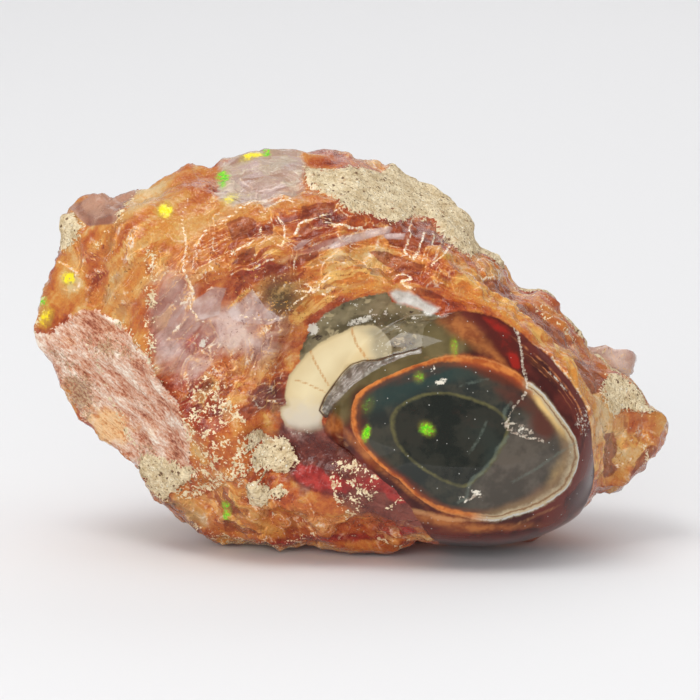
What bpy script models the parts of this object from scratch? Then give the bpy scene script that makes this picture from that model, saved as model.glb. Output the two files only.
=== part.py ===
"""Rough Ethiopian opal: one nodule with fractured faces, a smooth banded lobe and patches of host-rock crust.

Lengths below are in millimetres, and MM turns them into metres. The stone is laid out in a face frame (u, w, d):
u runs to the right across the broad face, w runs up it, and d comes out of it. The face leans back by FACE_LEAN
from upright. A function named after a form returns how far a point lies outside that form, in millimetres.
"""

import functools
import math

import bmesh
import bpy
import numpy as np

MM = 0.001

# Size and stance
LENGTH = 42.1
FACE_LEAN = math.radians(10.0)
CENTRE = np.array((-0.4, 12.3, 0.0))
FRONT_DEPTH = 9.3
BACK_DEPTH = 10.4
CUSHION_POWER = 3.0
FLOOR_CUT = 0.25

# Mesh fineness
CUBE_CUTS = 26
START_SIZE = np.array((21.5, 13.6, 10.8))
SEARCH_REACH = 26.0
SEARCH_STEP = 0.4
HALVINGS = 14

# The broad face's outline (u, w), going round clockwise from the left tip
OUTLINE = np.array((
    (-21.0, 14.1), (-20.6, 17.3), (-20.2, 18.5), (-19.4, 19.6), (-19.3, 20.5), (-19.5, 22.3),
    (-19.1, 22.9), (-18.2, 23.5), (-15.9, 23.9), (-13.9, 24.4), (-12.7, 25.1), (-10.9, 25.9),
    (-10.0, 25.6), (-9.0, 25.7), (-7.3, 26.3), (-5.3, 26.8), (-2.9, 26.5), (-0.1, 26.3),
    (3.1, 25.9), (4.7, 24.8), (5.5, 24.7), (6.8, 23.5), (7.2, 22.7), (8.3, 21.7),
    (8.5, 20.8), (8.9, 20.3), (9.9, 19.5), (10.7, 18.1), (12.6, 17.3), (13.5, 16.7),
    (13.8, 15.9), (15.3, 14.4), (16.0, 13.2), (17.0, 12.0), (18.5, 11.3), (19.6, 10.2),
    (20.3, 9.3), (21.1, 8.6), (20.9, 7.7), (20.7, 7.1), (20.0, 6.3), (19.3, 5.4),
    (18.1, 4.3), (16.9, 4.1), (16.2, 4.1), (15.4, 3.3), (14.7, 2.7), (13.3, 1.7),
    (11.5, 0.7), (9.5, 0.4), (7.4, 0.4), (4.4, 0.7), (3.1, 0.1), (1.4, 0.3),
    (-2.6, 0.5), (-5.1, 0.1), (-7.8, 0.6), (-9.3, 1.1), (-10.5, 1.9), (-12.1, 3.0),
    (-13.0, 3.4), (-13.9, 5.2), (-15.1, 6.4), (-18.1, 8.9), (-18.8, 10.7), (-20.1, 12.7),
))
OUTLINE_BLUR = math.radians(13.0)
OUTLINE_SAMPLES = 720
RIM_SPREAD = 0.42

# Flat fracture faces: outward direction, and a point that the face goes through
FRACTURES = {
    "left_rough": ((-0.657, -0.391, 0.644), (-13.4, 11.7, 7.0)),
    "left_block": ((-0.635, 0.096, 0.766), (-13.4, 11.7, 7.0)),
    "left_top": ((-0.42, 0.74, 0.52), (-15.6, 23.4, 1.8)),
    "honey_slope": ((-0.125, 0.470, 0.874), (-6.7, 18.7, 7.5)),
    "top_window": ((-0.087, 0.830, 0.550), (-6.7, 22.3, 6.4)),
    "crust_slope": ((0.445, 0.804, 0.390), (-0.7, 23.3, 5.5)),
    "middle": ((0.06, 0.12, 0.99), (0.0, 14.0, 7.8)),
    "right_shoulder": ((0.633, 0.633, 0.444), (9.9, 16.0, 6.5)),
    "right_end": ((0.575, -0.077, 0.814), (16.6, 10.0, 3.6)),
    "low_chips": ((-0.36, -0.72, 0.59), (-9.1, 5.3, 7.5)),
    "back_main": ((0.12, 0.22, -0.97), (0.0, 13.0, -9.0)),
    "back_left": ((-0.72, 0.25, -0.65), (-20.6, 16.5, -1.2)),
    "back_right": ((0.66, 0.10, -0.75), (20.5, 9.0, -1.6)),
    "back_top": ((-0.15, 0.80, -0.58), (-3.0, 26.0, -2.0)),
    "back_low": ((-0.10, -0.62, -0.78), (-2.0, 2.2, -4.6)),
}
FRACTURE_BLEND = 0.3

# Shell-shaped fractures: a point of the face before the bite, the way it faces, the ball's radius, and the bite's depth
SCOOPS = {
    "lilac_bowl": ((-9.0, 14.0, 7.7), (-0.12, 0.02, 0.99), 11.0, 1.3),
    "honey_bowl": ((-10.2, 20.6, 6.8), (-0.20, 0.47, 0.86), 8.0, 1.0),
    "window_bowl": ((-5.6, 24.4, 3.8), (-0.09, 0.83, 0.55), 9.0, 0.6),
    "window_step": ((-1.2, 24.6, 3.4), (0.20, 0.83, 0.52), 6.0, 0.5),
    "block_bowl": ((-17.2, 18.0, 3.8), (-0.64, 0.10, 0.77), 6.0, 0.8),
    "rough_bowl": ((-14.8, 9.2, 4.4), (-0.66, -0.39, 0.64), 15.0, 0.9),
    "low_left_chip": ((-9.8, 3.2, 5.0), (-0.40, -0.70, 0.59), 4.0, 0.8),
    "low_middle_chip": ((-4.6, 1.6, 5.4), (-0.10, -0.75, 0.65), 3.6, 0.8),
    "low_lobe_chip": ((1.2, 1.4, 5.8), (0.05, -0.80, 0.60), 4.2, 0.9),
    "shell_bowl": ((3.2, 19.2, 6.8), (0.10, 0.40, 0.91), 7.0, 0.8),
    "shoulder_bowl": ((13.2, 15.8, 3.4), (0.63, 0.63, 0.44), 6.0, 0.6),
    "red_bowl": ((13.8, 12.2, 5.6), (0.60, 0.38, 0.70), 6.0, 0.7),
    "end_low_chip": ((18.2, 6.6, 2.3), (0.52, -0.26, 0.81), 4.4, 0.6),
    "end_high_chip": ((18.2, 10.8, 1.9), (0.52, 0.34, 0.78), 4.4, 0.5),
    "back_bowl": ((6.0, 16.0, -8.4), (0.20, 0.30, -0.93), 10.0, 1.3),
    "back_hollow": ((-9.0, 8.0, -8.2), (-0.30, -0.25, -0.92), 9.0, 1.2),
    "back_chip": ((-14.0, 20.0, -5.2), (-0.55, 0.50, -0.66), 7.0, 0.9),
    "back_end_chip": ((15.5, 7.0, -5.4), (0.62, -0.20, -0.76), 7.0, 0.9),
}
SCOOP_BLEND = 0.3

# The smooth lobe, egg-shaped, with its long axis falling to the right
LOBE_CENTRE = np.array((7.1, 8.15, 2.4))
LOBE_SIZE = np.array((9.4, 7.9, 7.6))
LOBE_TURN = math.radians(-20.0)
LOBE_OUTLINE_POWER = 2.2
LOBE_DEPTH_POWER = 3.0
LIP_BLEND = 0.12
LOBE_BLEND = 2.0

# The trough that curves round the lobe's upper left side
TROUGH_DEPTH = 2.2
TROUGH_WIDTH = 5.2
TROUGH_MIDDLE = math.radians(148.0)
TROUGH_HALF_ANGLE = math.radians(62.0)

# Stepped shells of broken glass that curve over the lobe: their middle, then each one's reach and its drop
SHELL_MIDDLE = (1.6, 8.0)
SHELL_SQUASH = 1.18
SHELL_STEPS = ((12.6, 0.45), (15.0, 0.5), (17.4, 0.45))
SHELL_EDGE = 0.9

# Host-rock crust: middle of the patch, its radius, and its thickness
CRUSTS = {
    "top_right": ((4.2, 22.6, 3.4), 6.0, 0.55),
    "top_far_right": ((8.6, 20.4, 0.8), 4.6, 0.6),
    "right_rim": ((13.6, 16.6, -0.6), 3.6, 0.45),
    "right_cap": ((18.4, 10.4, -0.6), 3.4, 0.45),
    "left_tab": ((-18.6, 21.6, 1.0), 2.0, 0.35),
    "low_round": ((-6.0, 5.6, 7.4), 2.0, 0.45),
    "low_left": ((-12.0, 4.6, 3.0), 3.0, 0.5),
    "back_patch": ((-4.0, 15.0, -9.2), 6.5, 0.6),
    "back_skin": ((9.0, 8.0, -8.0), 5.0, 0.5),
}
CRUST_RAGGED = 0.24
CRUST_EDGE = 0.2

# Roughness of the whole surface: size of the lumps, height, seed
ROUGHNESS = ((5.0, 0.34, 3), (2.2, 0.17, 5))
LOBE_SMOOTHNESS = 0.08
NOISE_CELLS = 32

# The spur that stands out behind the right shoulder: the corners (u, w, d) of a small angular chip
SPUR_CORNERS = (
    (14.2, 13.9, -2.8), (16.1, 13.6, -3.0), (17.4, 13.2, -2.8), (18.5, 13.15, -3.3), (19.0, 12.9, -4.0),
    (18.8, 12.0, -3.7), (18.5, 11.2, -3.2), (14.8, 9.8, -2.2), (15.0, 13.0, -6.2), (17.9, 12.8, -5.4),
    (18.2, 11.4, -5.5), (15.0, 9.6, -6.4),
)

OPAL_COLOUR = (0.62, 0.22, 0.06, 1.0)
OPAL_ROUGHNESS = 0.22


@functools.lru_cache(maxsize=None)
def lattice_values(seed):
    return np.random.default_rng(seed).uniform(-1.0, 1.0, (NOISE_CELLS,) * 3)


def lattice_noise(points, cell, seed):
    """Smooth noise from -1 to 1, with lumps about one cell across."""
    lattice = lattice_values(seed)
    scaled = points / cell
    low = np.floor(scaled).astype(int)
    part = scaled - low
    part = part * part * (3.0 - 2.0 * part)
    total = np.zeros(len(points))
    for corner in np.ndindex(2, 2, 2):
        index = (low + corner) % NOISE_CELLS
        weight = np.where(corner, part, 1.0 - part).prod(axis=1)
        total += weight * lattice[index[:, 0], index[:, 1], index[:, 2]]
    return total


def smooth_max(a, b, width):
    """The larger of a and b, with the crease between them rounded over that width."""
    blend = np.maximum(width - np.abs(a - b), 0.0) / width
    return np.maximum(a, b) + blend * blend * width / 4.0


def smooth_min(a, b, width):
    return -smooth_max(-a, -b, width)


def smooth_step(low, high, value):
    share = np.clip((value - low) / (high - low), 0.0, 1.0)
    return share * share * (3.0 - 2.0 * share)


def outline_radii():
    """The outline's distance from the centre at even angles: as it is, and blurred."""
    offset = OUTLINE - CENTRE[:2]
    angles = np.arctan2(offset[:, 1], offset[:, 0])
    radii = np.hypot(offset[:, 0], offset[:, 1])
    even = np.linspace(-math.pi, math.pi, OUTLINE_SAMPLES, endpoint=False)
    sharp = np.interp(even, angles[np.argsort(angles)], radii[np.argsort(angles)], period=2 * math.pi)
    turned = np.abs((even - even[0] + math.pi) % (2 * math.pi) - math.pi)
    kernel = np.exp(-0.5 * (turned / OUTLINE_BLUR) ** 2)
    soft = np.real(np.fft.ifft(np.fft.fft(sharp) * np.fft.fft(kernel / kernel.sum())))
    return even, sharp, soft


OUTLINE_ANGLES, OUTLINE_SHARP, OUTLINE_SOFT = outline_radii()


def cushion(points):
    """The nodule's rounded body, which reaches the outline where its surface turns away from the face."""
    offset = points - CENTRE
    side = np.hypot(offset[:, 0], offset[:, 1])
    length = np.maximum(np.linalg.norm(offset, axis=1), 1e-9)
    angle = np.arctan2(offset[:, 1], offset[:, 0])
    sharp = np.interp(angle, OUTLINE_ANGLES, OUTLINE_SHARP, period=2 * math.pi)
    soft = np.interp(angle, OUTLINE_ANGLES, OUTLINE_SOFT, period=2 * math.pi)
    nearness = np.exp(-((offset[:, 2] / length / RIM_SPREAD) ** 2))
    rim = soft + (sharp - soft) * nearness
    depth = np.where(offset[:, 2] > 0.0, FRONT_DEPTH, BACK_DEPTH)
    shape = (side / rim) ** CUSHION_POWER + (np.abs(offset[:, 2]) / depth) ** CUSHION_POWER
    return length * (1.0 - shape ** (-1.0 / CUSHION_POWER))


def lobe_offset(points):
    """Points measured from the lobe's centre, along its own long, short and deep axes."""
    offset = points - LOBE_CENTRE
    cosine, sine = math.cos(LOBE_TURN), math.sin(LOBE_TURN)
    along = offset[:, 0] * cosine + offset[:, 1] * sine
    across = offset[:, 1] * cosine - offset[:, 0] * sine
    return np.stack((along, across, offset[:, 2]), axis=1)


def lobe(points):
    offset = lobe_offset(points)
    length = np.maximum(np.linalg.norm(offset, axis=1), 1e-9)
    share = np.abs(offset / LOBE_SIZE)
    flat = share[:, 0] ** LOBE_OUTLINE_POWER + share[:, 1] ** LOBE_OUTLINE_POWER
    shape = flat ** (LOBE_DEPTH_POWER / LOBE_OUTLINE_POWER) + share[:, 2] ** LOBE_DEPTH_POWER
    return length * (1.0 - np.maximum(shape, 1e-9) ** (-1.0 / LOBE_DEPTH_POWER))


def lobe_margin(points):
    """How far a point of the face lies outside the lobe's edge, seen straight on."""
    offset = lobe_offset(points)[:, :2]
    shape = (np.abs(offset / LOBE_SIZE[:2]) ** LOBE_OUTLINE_POWER).sum(axis=1) ** (1.0 / LOBE_OUTLINE_POWER)
    return (shape - 1.0) * np.linalg.norm(offset, axis=1) / np.maximum(shape, 1e-9)


def lip_side(points):
    """1 on the lobe's upper left, where the trough runs, and 0 where the lobe merges with the stone."""
    offset = points[:, :2] - LOBE_CENTRE[:2]
    turn = np.arctan2(offset[:, 1], offset[:, 0]) - TROUGH_MIDDLE
    turn = np.abs((turn + math.pi) % (2 * math.pi) - math.pi)
    return 1.0 - smooth_step(0.55 * TROUGH_HALF_ANGLE, TROUGH_HALF_ANGLE, turn)


def trough(points):
    """How deep the trough round the lobe is at a point of the face."""
    across = 1.0 - smooth_step(0.65 * TROUGH_WIDTH, TROUGH_WIDTH, lobe_margin(points))
    return TROUGH_DEPTH * lip_side(points) * across * (points[:, 2] > 0.0)


def shell_steps(points):
    """The height lost, step by step, going outwards over the broken shells."""
    offset = points[:, :2] - np.array(SHELL_MIDDLE)
    radius = np.hypot(offset[:, 0], SHELL_SQUASH * offset[:, 1]) + 0.7 * lattice_noise(points, 4.0, 21)
    above = smooth_step(2.0, 6.0, offset[:, 1]) * smooth_step(0.0, 2.0, points[:, 2])
    drop = sum(height * smooth_step(reach, reach + SHELL_EDGE, radius) for reach, height in SHELL_STEPS)
    return drop * above


def crust(points):
    """The thickness of host rock left on the stone at a point of its surface."""
    ragged = CRUST_RAGGED * (lattice_noise(points, 1.6, 11) + 0.6 * lattice_noise(points, 0.8, 13))
    thickness = np.zeros(len(points))
    for middle, radius, height in CRUSTS.values():
        inside = 1.0 - np.linalg.norm(points - np.array(middle), axis=1) / radius + ragged
        thickness = np.maximum(thickness, height * smooth_step(0.0, CRUST_EDGE, inside))
    return thickness


def height_above_floor(points):
    return points[:, 1] * math.cos(FACE_LEAN) + points[:, 2] * math.sin(FACE_LEAN)


def stone(points):
    """The whole opal, as the distance outside it."""
    body = cushion(points) + trough(points) + shell_steps(points)
    for normal, point in FRACTURES.values():
        direction = np.array(normal) / np.linalg.norm(normal)
        body = smooth_max(body, (points - np.array(point)) @ direction, FRACTURE_BLEND)
    for place, facing, radius, bite in SCOOPS.values():
        ball = np.array(place) + np.array(facing) / np.linalg.norm(facing) * (radius - bite)
        body = smooth_max(body, radius - np.linalg.norm(points - ball, axis=1), SCOOP_BLEND)
    rough = sum(height * lattice_noise(points, size, seed) for size, height, seed in ROUGHNESS)
    body = body + rough - crust(points)
    blend = LOBE_BLEND + (LIP_BLEND - LOBE_BLEND) * lip_side(points)
    whole = smooth_min(body, lobe(points) + LOBE_SMOOTHNESS * rough, blend)
    return np.maximum(whole, FLOOR_CUT - height_above_floor(points))


def reach_of_stone(directions):
    """How far the surface lies from the centre along each direction: a walk inwards, then halvings."""
    outside = np.full(len(directions), SEARCH_REACH)
    found = np.zeros(len(directions), bool)
    inside = outside.copy()
    for distance in np.arange(SEARCH_REACH, 0.0, -SEARCH_STEP):
        within = stone(CENTRE + directions * distance) < 0.0
        newly = within & ~found
        inside[newly] = distance
        outside[newly] = distance + SEARCH_STEP
        found |= within
        if found.all():
            break
    for _ in range(HALVINGS):
        middle = (inside + outside) / 2.0
        within = stone(CENTRE + directions * middle[:, None]) < 0.0
        inside = np.where(within, middle, inside)
        outside = np.where(within, outside, middle)
    return (inside + outside) / 2.0


def to_world(points):
    """Face-frame millimetres to upright metres: x right, y away from the viewer, z up."""
    cosine, sine = math.cos(FACE_LEAN), math.sin(FACE_LEAN)
    away = points[:, 1] * sine - points[:, 2] * cosine
    return MM * np.stack((points[:, 0], away, height_above_floor(points) - FLOOR_CUT), axis=1)


def starting_cube():
    """A cube of even squares, with its corners at -1 and 1."""
    shell = bmesh.new()
    bmesh.ops.create_cube(shell, size=2.0)
    bmesh.ops.subdivide_edges(shell, edges=shell.edges[:], cuts=CUBE_CUTS, use_grid_fill=True)
    return shell


def nodule_mesh():
    shell = starting_cube()
    corners = np.array([vertex.co for vertex in shell.verts])
    rounded = np.tan(corners * math.pi / 4.0)
    rounded = rounded / np.linalg.norm(rounded, axis=1)[:, None] * START_SIZE
    directions = rounded / np.linalg.norm(rounded, axis=1)[:, None]
    surface = CENTRE + directions * reach_of_stone(directions)[:, None]
    for vertex, place in zip(shell.verts, to_world(surface)):
        vertex.co = place
    bmesh.ops.triangulate(shell, faces=shell.faces[:], quad_method="SHORT_EDGE")
    bmesh.ops.recalc_face_normals(shell, faces=shell.faces[:])
    mesh = bpy.data.meshes.new("opal")
    shell.to_mesh(mesh)
    shell.free()
    return mesh


def spur_object():
    """The spur as a small angular chip, to be joined to the nodule."""
    chip = bmesh.new()
    for place in to_world(np.array(SPUR_CORNERS)):
        chip.verts.new(place)
    hull = bmesh.ops.convex_hull(chip, input=chip.verts[:])
    bmesh.ops.delete(chip, geom=hull["geom_interior"], context="VERTS")
    bmesh.ops.recalc_face_normals(chip, faces=chip.faces[:])
    mesh = bpy.data.meshes.new("spur")
    chip.to_mesh(mesh)
    chip.free()
    spur = bpy.data.objects.new("spur", mesh)
    bpy.context.scene.collection.objects.link(spur)
    spur.hide_render = True
    spur.display_type = "WIRE"
    return spur


def opal_material():
    material = bpy.data.materials.new("honey_opal")
    material.use_nodes = True
    shader = material.node_tree.nodes["Principled BSDF"]
    shader.inputs["Base Color"].default_value = OPAL_COLOUR
    shader.inputs["Roughness"].default_value = OPAL_ROUGHNESS
    shader.inputs["Metallic"].default_value = 0.0
    return material


def centre_over_origin(opal, *others):
    """Moves everything sideways, so that the stone's box stands on the origin."""
    places = np.array([vertex.co for vertex in opal.data.vertices])
    middle = (places.min(axis=0) + places.max(axis=0)) / 2.0
    for thing in (opal, *others):
        for vertex in thing.data.vertices:
            vertex.co.x -= middle[0]
            vertex.co.y -= middle[1]
    return middle


def build_opal():
    for thing in list(bpy.data.objects):
        bpy.data.objects.remove(thing)
    opal = bpy.data.objects.new("opal", nodule_mesh())
    bpy.context.scene.collection.objects.link(opal)
    opal.data.materials.append(opal_material())
    spur = spur_object()
    middle = centre_over_origin(opal, spur)
    union = opal.modifiers.new("join_spur", "BOOLEAN")
    union.operation = "UNION"
    union.solver = "EXACT"
    union.object = spur
    opal.data.shade_smooth()
    return middle


BOX_MIDDLE = build_opal()
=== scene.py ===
import functools
import math

import bmesh
import bpy
import numpy as np
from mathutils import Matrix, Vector, noise
from mathutils.kdtree import KDTree


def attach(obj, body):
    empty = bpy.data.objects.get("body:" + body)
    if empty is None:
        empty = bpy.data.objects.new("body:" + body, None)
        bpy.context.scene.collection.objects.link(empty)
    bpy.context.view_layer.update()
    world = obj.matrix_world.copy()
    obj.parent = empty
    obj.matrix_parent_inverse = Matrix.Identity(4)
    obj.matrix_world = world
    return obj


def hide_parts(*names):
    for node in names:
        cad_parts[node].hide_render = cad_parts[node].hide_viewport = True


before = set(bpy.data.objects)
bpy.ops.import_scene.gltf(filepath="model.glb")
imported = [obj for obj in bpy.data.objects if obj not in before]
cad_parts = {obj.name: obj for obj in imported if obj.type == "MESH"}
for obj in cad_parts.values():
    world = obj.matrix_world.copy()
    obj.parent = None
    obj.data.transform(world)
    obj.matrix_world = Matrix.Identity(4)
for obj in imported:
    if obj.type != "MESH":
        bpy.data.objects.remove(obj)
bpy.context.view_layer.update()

# The module's vector noise takes its seed from the clock unless one is set
PATTERN_SEED = 7
noise.seed_set(PATTERN_SEED)

MM = 0.001

# The stone's form, in the solids' own face frame: millimetres to the right, up and out of the broad face

FACE_LEAN = math.radians(10.0)
BOX_MIDDLE = (0.1944, 1.9721)
CENTRE = np.array((-0.4, 12.3, 0.0))
FRONT_DEPTH = 9.3
BACK_DEPTH = 10.4
CUSHION_POWER = 3.0
FLOOR_CUT = 0.25

GRID_CELLS = (220, 140, 53)
START_SIZE = np.array((21.5, 13.6, 8.8))
START_REACH = 27.0
MARCH_STEPS = 34
MARCH_SHARE = 0.7

OUTLINE = np.array((
    (-21.0, 14.1), (-20.6, 17.3), (-20.2, 18.5), (-19.4, 19.6), (-19.3, 20.5), (-19.5, 22.3),
    (-19.1, 22.9), (-18.2, 23.5), (-15.9, 23.9), (-13.9, 24.4), (-12.7, 25.1), (-10.9, 25.9),
    (-10.0, 25.6), (-9.0, 25.7), (-7.3, 26.3), (-5.3, 26.8), (-2.9, 26.5), (-0.1, 26.3),
    (3.1, 25.9), (4.7, 24.8), (5.5, 24.7), (6.8, 23.5), (7.2, 22.7), (8.3, 21.7),
    (8.5, 20.8), (8.9, 20.3), (9.9, 19.5), (10.7, 18.1), (12.6, 17.3), (13.5, 16.7),
    (13.8, 15.9), (15.3, 14.4), (16.0, 13.2), (17.0, 12.0), (18.5, 11.3), (19.6, 10.2),
    (20.3, 9.3), (21.1, 8.6), (20.9, 7.7), (20.7, 7.1), (20.0, 6.3), (19.3, 5.4),
    (18.1, 4.3), (16.9, 4.1), (16.2, 4.1), (15.4, 3.3), (14.7, 2.7), (13.3, 1.7),
    (11.5, 0.7), (9.5, 0.4), (7.4, 0.4), (4.4, 0.7), (3.1, 0.1), (1.4, 0.3),
    (-2.6, 0.5), (-5.1, 0.1), (-7.8, 0.6), (-9.3, 1.1), (-10.5, 1.9), (-12.1, 3.0),
    (-13.0, 3.4), (-13.9, 5.2), (-15.1, 6.4), (-18.1, 8.9), (-18.8, 10.7), (-20.1, 12.7),
))
OUTLINE_BLUR = math.radians(13.0)
OUTLINE_SAMPLES = 720
RIM_SPREAD = 0.42

FRACTURES = {
    "left_rough": ((-0.657, -0.391, 0.644), (-13.4, 11.7, 7.0)),
    "left_block": ((-0.635, 0.096, 0.766), (-13.4, 11.7, 7.0)),
    "left_top": ((-0.42, 0.74, 0.52), (-15.6, 23.4, 1.8)),
    "honey_slope": ((-0.125, 0.470, 0.874), (-6.7, 18.7, 7.5)),
    "top_window": ((-0.087, 0.830, 0.550), (-6.7, 22.3, 6.4)),
    "crust_slope": ((0.445, 0.804, 0.390), (-0.7, 23.3, 5.5)),
    "middle": ((0.06, 0.12, 0.99), (0.0, 14.0, 7.8)),
    "right_shoulder": ((0.633, 0.633, 0.444), (9.9, 16.0, 6.5)),
    "right_end": ((0.575, -0.077, 0.814), (16.6, 10.0, 3.6)),
    "low_chips": ((-0.36, -0.72, 0.59), (-9.1, 5.3, 7.5)),
    "back_main": ((0.12, 0.22, -0.97), (0.0, 13.0, -9.0)),
    "back_left": ((-0.72, 0.25, -0.65), (-20.6, 16.5, -1.2)),
    "back_right": ((0.66, 0.10, -0.75), (20.5, 9.0, -1.6)),
    "back_top": ((-0.15, 0.80, -0.58), (-3.0, 26.0, -2.0)),
    "back_low": ((-0.10, -0.62, -0.78), (-2.0, 2.2, -4.6)),
}
FRACTURE_BLEND = 0.12

SCOOPS = {
    "lilac_bowl": ((-9.0, 14.0, 7.7), (-0.12, 0.02, 0.99), 11.0, 1.3),
    "honey_bowl": ((-10.2, 20.6, 6.8), (-0.20, 0.47, 0.86), 8.0, 1.0),
    "window_bowl": ((-5.6, 24.4, 3.8), (-0.09, 0.83, 0.55), 9.0, 0.6),
    "window_step": ((-1.2, 24.6, 3.4), (0.20, 0.83, 0.52), 6.0, 0.5),
    "block_bowl": ((-17.2, 18.0, 3.8), (-0.64, 0.10, 0.77), 6.0, 0.8),
    "rough_bowl": ((-14.8, 9.2, 4.4), (-0.66, -0.39, 0.64), 15.0, 0.9),
    "low_left_chip": ((-9.8, 3.2, 5.0), (-0.40, -0.70, 0.59), 4.0, 0.8),
    "low_middle_chip": ((-4.6, 1.6, 5.4), (-0.10, -0.75, 0.65), 3.6, 0.8),
    "low_lobe_chip": ((1.2, 1.4, 5.8), (0.05, -0.80, 0.60), 4.2, 0.9),
    "shell_bowl": ((3.2, 19.2, 6.8), (0.10, 0.40, 0.91), 7.0, 0.8),
    "shoulder_bowl": ((13.2, 15.8, 3.4), (0.63, 0.63, 0.44), 6.0, 0.6),
    "red_bowl": ((13.8, 12.2, 5.6), (0.60, 0.38, 0.70), 6.0, 0.7),
    "end_low_chip": ((18.2, 6.6, 2.3), (0.52, -0.26, 0.81), 4.4, 0.6),
    "end_high_chip": ((18.2, 10.8, 1.9), (0.52, 0.34, 0.78), 4.4, 0.5),
    "back_bowl": ((6.0, 16.0, -8.4), (0.20, 0.30, -0.93), 10.0, 1.3),
    "back_hollow": ((-9.0, 8.0, -8.2), (-0.30, -0.25, -0.92), 9.0, 1.2),
    "back_chip": ((-14.0, 20.0, -5.2), (-0.55, 0.50, -0.66), 7.0, 0.9),
    "back_end_chip": ((15.5, 7.0, -5.4), (0.62, -0.20, -0.76), 7.0, 0.9),
}
SCOOP_BLEND = 0.1

LOBE_CENTRE = np.array((7.1, 8.15, 2.4))
LOBE_SIZE = np.array((9.4, 7.9, 7.6))
LOBE_TURN = math.radians(-20.0)
LOBE_OUTLINE_POWER = 2.2
LOBE_DEPTH_POWER = 3.0
LIP_BLEND = 0.12
LOBE_BLEND = 2.0

TROUGH_DEPTH = 2.2
TROUGH_WIDTH = 5.2
TROUGH_MIDDLE = math.radians(148.0)
TROUGH_HALF_ANGLE = math.radians(62.0)

SHELL_MIDDLE = (1.6, 8.0)
SHELL_SQUASH = 1.18
SHELL_STEPS = ((12.6, 0.45), (15.0, 0.5), (17.4, 0.45))
SHELL_EDGE = 0.35

CRUSTS = {
    "top_far_right": ((8.2, 20.0, 0.4), 4.2, 0.12),
    "right_rim": ((13.6, 16.4, -1.6), 3.4, 0.12),
    "right_cap": ((18.4, 10.2, -1.2), 3.2, 0.2),
    "back_patch": ((-4.0, 15.0, -9.2), 6.5, 0.6),
    "back_skin": ((9.0, 8.0, -8.0), 5.0, 0.5),
}
CRUST_RAGGED = 0.24
CRUST_EDGE = 0.12

# Layers of noise: pattern size, height and random seed
ROUGHNESS = ((5.0, 0.34, 3), (2.2, 0.17, 5))
RAGGED_EDGE = ((1.0, 0.22, 51), (0.5, 0.16, 52), (0.25, 0.10, 53))
CRUST_GRAIN = ((0.9, 0.09, 54), (0.42, 0.07, 55), (0.22, 0.05, 56))
LOBE_SMOOTHNESS = 0.08
NOISE_CELLS = 32

SPUR_CORNERS = (
    (14.2, 13.9, -2.8), (16.1, 13.6, -3.0), (17.4, 13.2, -2.8), (18.5, 13.15, -3.3), (19.0, 12.9, -4.0),
    (18.8, 12.0, -3.7), (18.5, 11.2, -3.2), (14.8, 9.8, -2.2), (15.0, 13.0, -6.2), (17.9, 12.8, -5.4),
    (18.2, 11.4, -5.5), (15.0, 9.6, -6.4),
)

# Where things are on the broad face, in pixels of the photo: x to the right, y down, fifteen to a millimetre

PIXELS_A_MM = 15.0
FACE_ZERO = (351.0, 550.0)
PHOTO_SIZE = 700.0
SIGHT_POINT = ((PHOTO_SIZE / 2 - FACE_ZERO[0]) / PIXELS_A_MM, (FACE_ZERO[1] - PHOTO_SIZE / 2) / PIXELS_A_MM)
SIGHT_DISTANCE = 324.0
SENSOR_WIDTH = 36.0
# How far outside an outline, in pixels, a place counts that it can't reach, and where the cream band pales
HIDDEN = 60.0
CREAM_LOW = 405.0

CRUST_AREAS = {
    "top": (0.5, ((306, 166), (322, 171), (336, 169), (348, 166), (369, 169), (384, 172), (392, 158),
        (404, 148), (432, 160), (462, 180), (482, 204), (492, 228), (486, 248), (472, 256), (455, 248),
        (443, 236), (434, 221), (412, 217), (403, 223), (388, 223), (377, 217), (357, 212), (342, 206),
        (334, 197), (318, 190), (304, 179))),
    "end": (0.5, ((601, 381), (612, 371), (630, 381), (645, 394), (652, 405), (660, 415), (644, 413),
        (624, 411), (611, 417), (606, 403))),
    "shoulder": (-0.12, ((515, 282), (528, 288), (545, 289), (555, 300), (558, 312), (570, 326), (583, 339),
        (577, 343), (560, 324), (544, 312), (533, 300), (521, 292))),
    "tab": (0.4, ((57, 213), (74, 214), (82, 227), (79, 237), (72, 245), (62, 253), (58, 230))),
    "round": (0.5, ((253, 429), (262, 429), (266, 438), (282, 437), (293, 446), (299, 459), (289, 471),
        (265, 472), (256, 461), (250, 446))),
    "low_round": (0.5, ((246, 486), (256, 482), (268, 487), (271, 499), (262, 508), (248, 504))),
    "low_small": (0.35, ((272, 489), (281, 484), (286, 492), (280, 500), (272, 498))),
    "low_left": (0.4, ((142, 452), (160, 458), (178, 462), (192, 470), (190, 481), (176, 491), (164, 501),
        (150, 490), (140, 470))),
    "ridge": (-0.02, ((168, 492), (176, 478), (196, 462), (222, 458), (244, 452), (256, 462), (246, 478),
        (226, 482), (206, 494), (184, 500))),
    "spray": (-0.06, ((190, 388), (205, 378), (222, 384), (238, 402), (247, 424), (243, 445), (228, 466),
        (205, 462), (190, 440))),
    "red_spray": (-0.05, ((334, 462), (350, 456), (370, 468), (380, 484), (374, 500), (352, 514),
        (338, 504), (332, 480))),
    "shoulder_spray": (-0.18, ((520, 295), (534, 296), (540, 312), (528, 318))),
    "block_spray": (-0.34, ((80, 232), (128, 226), (150, 250), (154, 350), (128, 330), (96, 308), (66, 330),
        (46, 330), (48, 300), (78, 300), (98, 262))),
}
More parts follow.
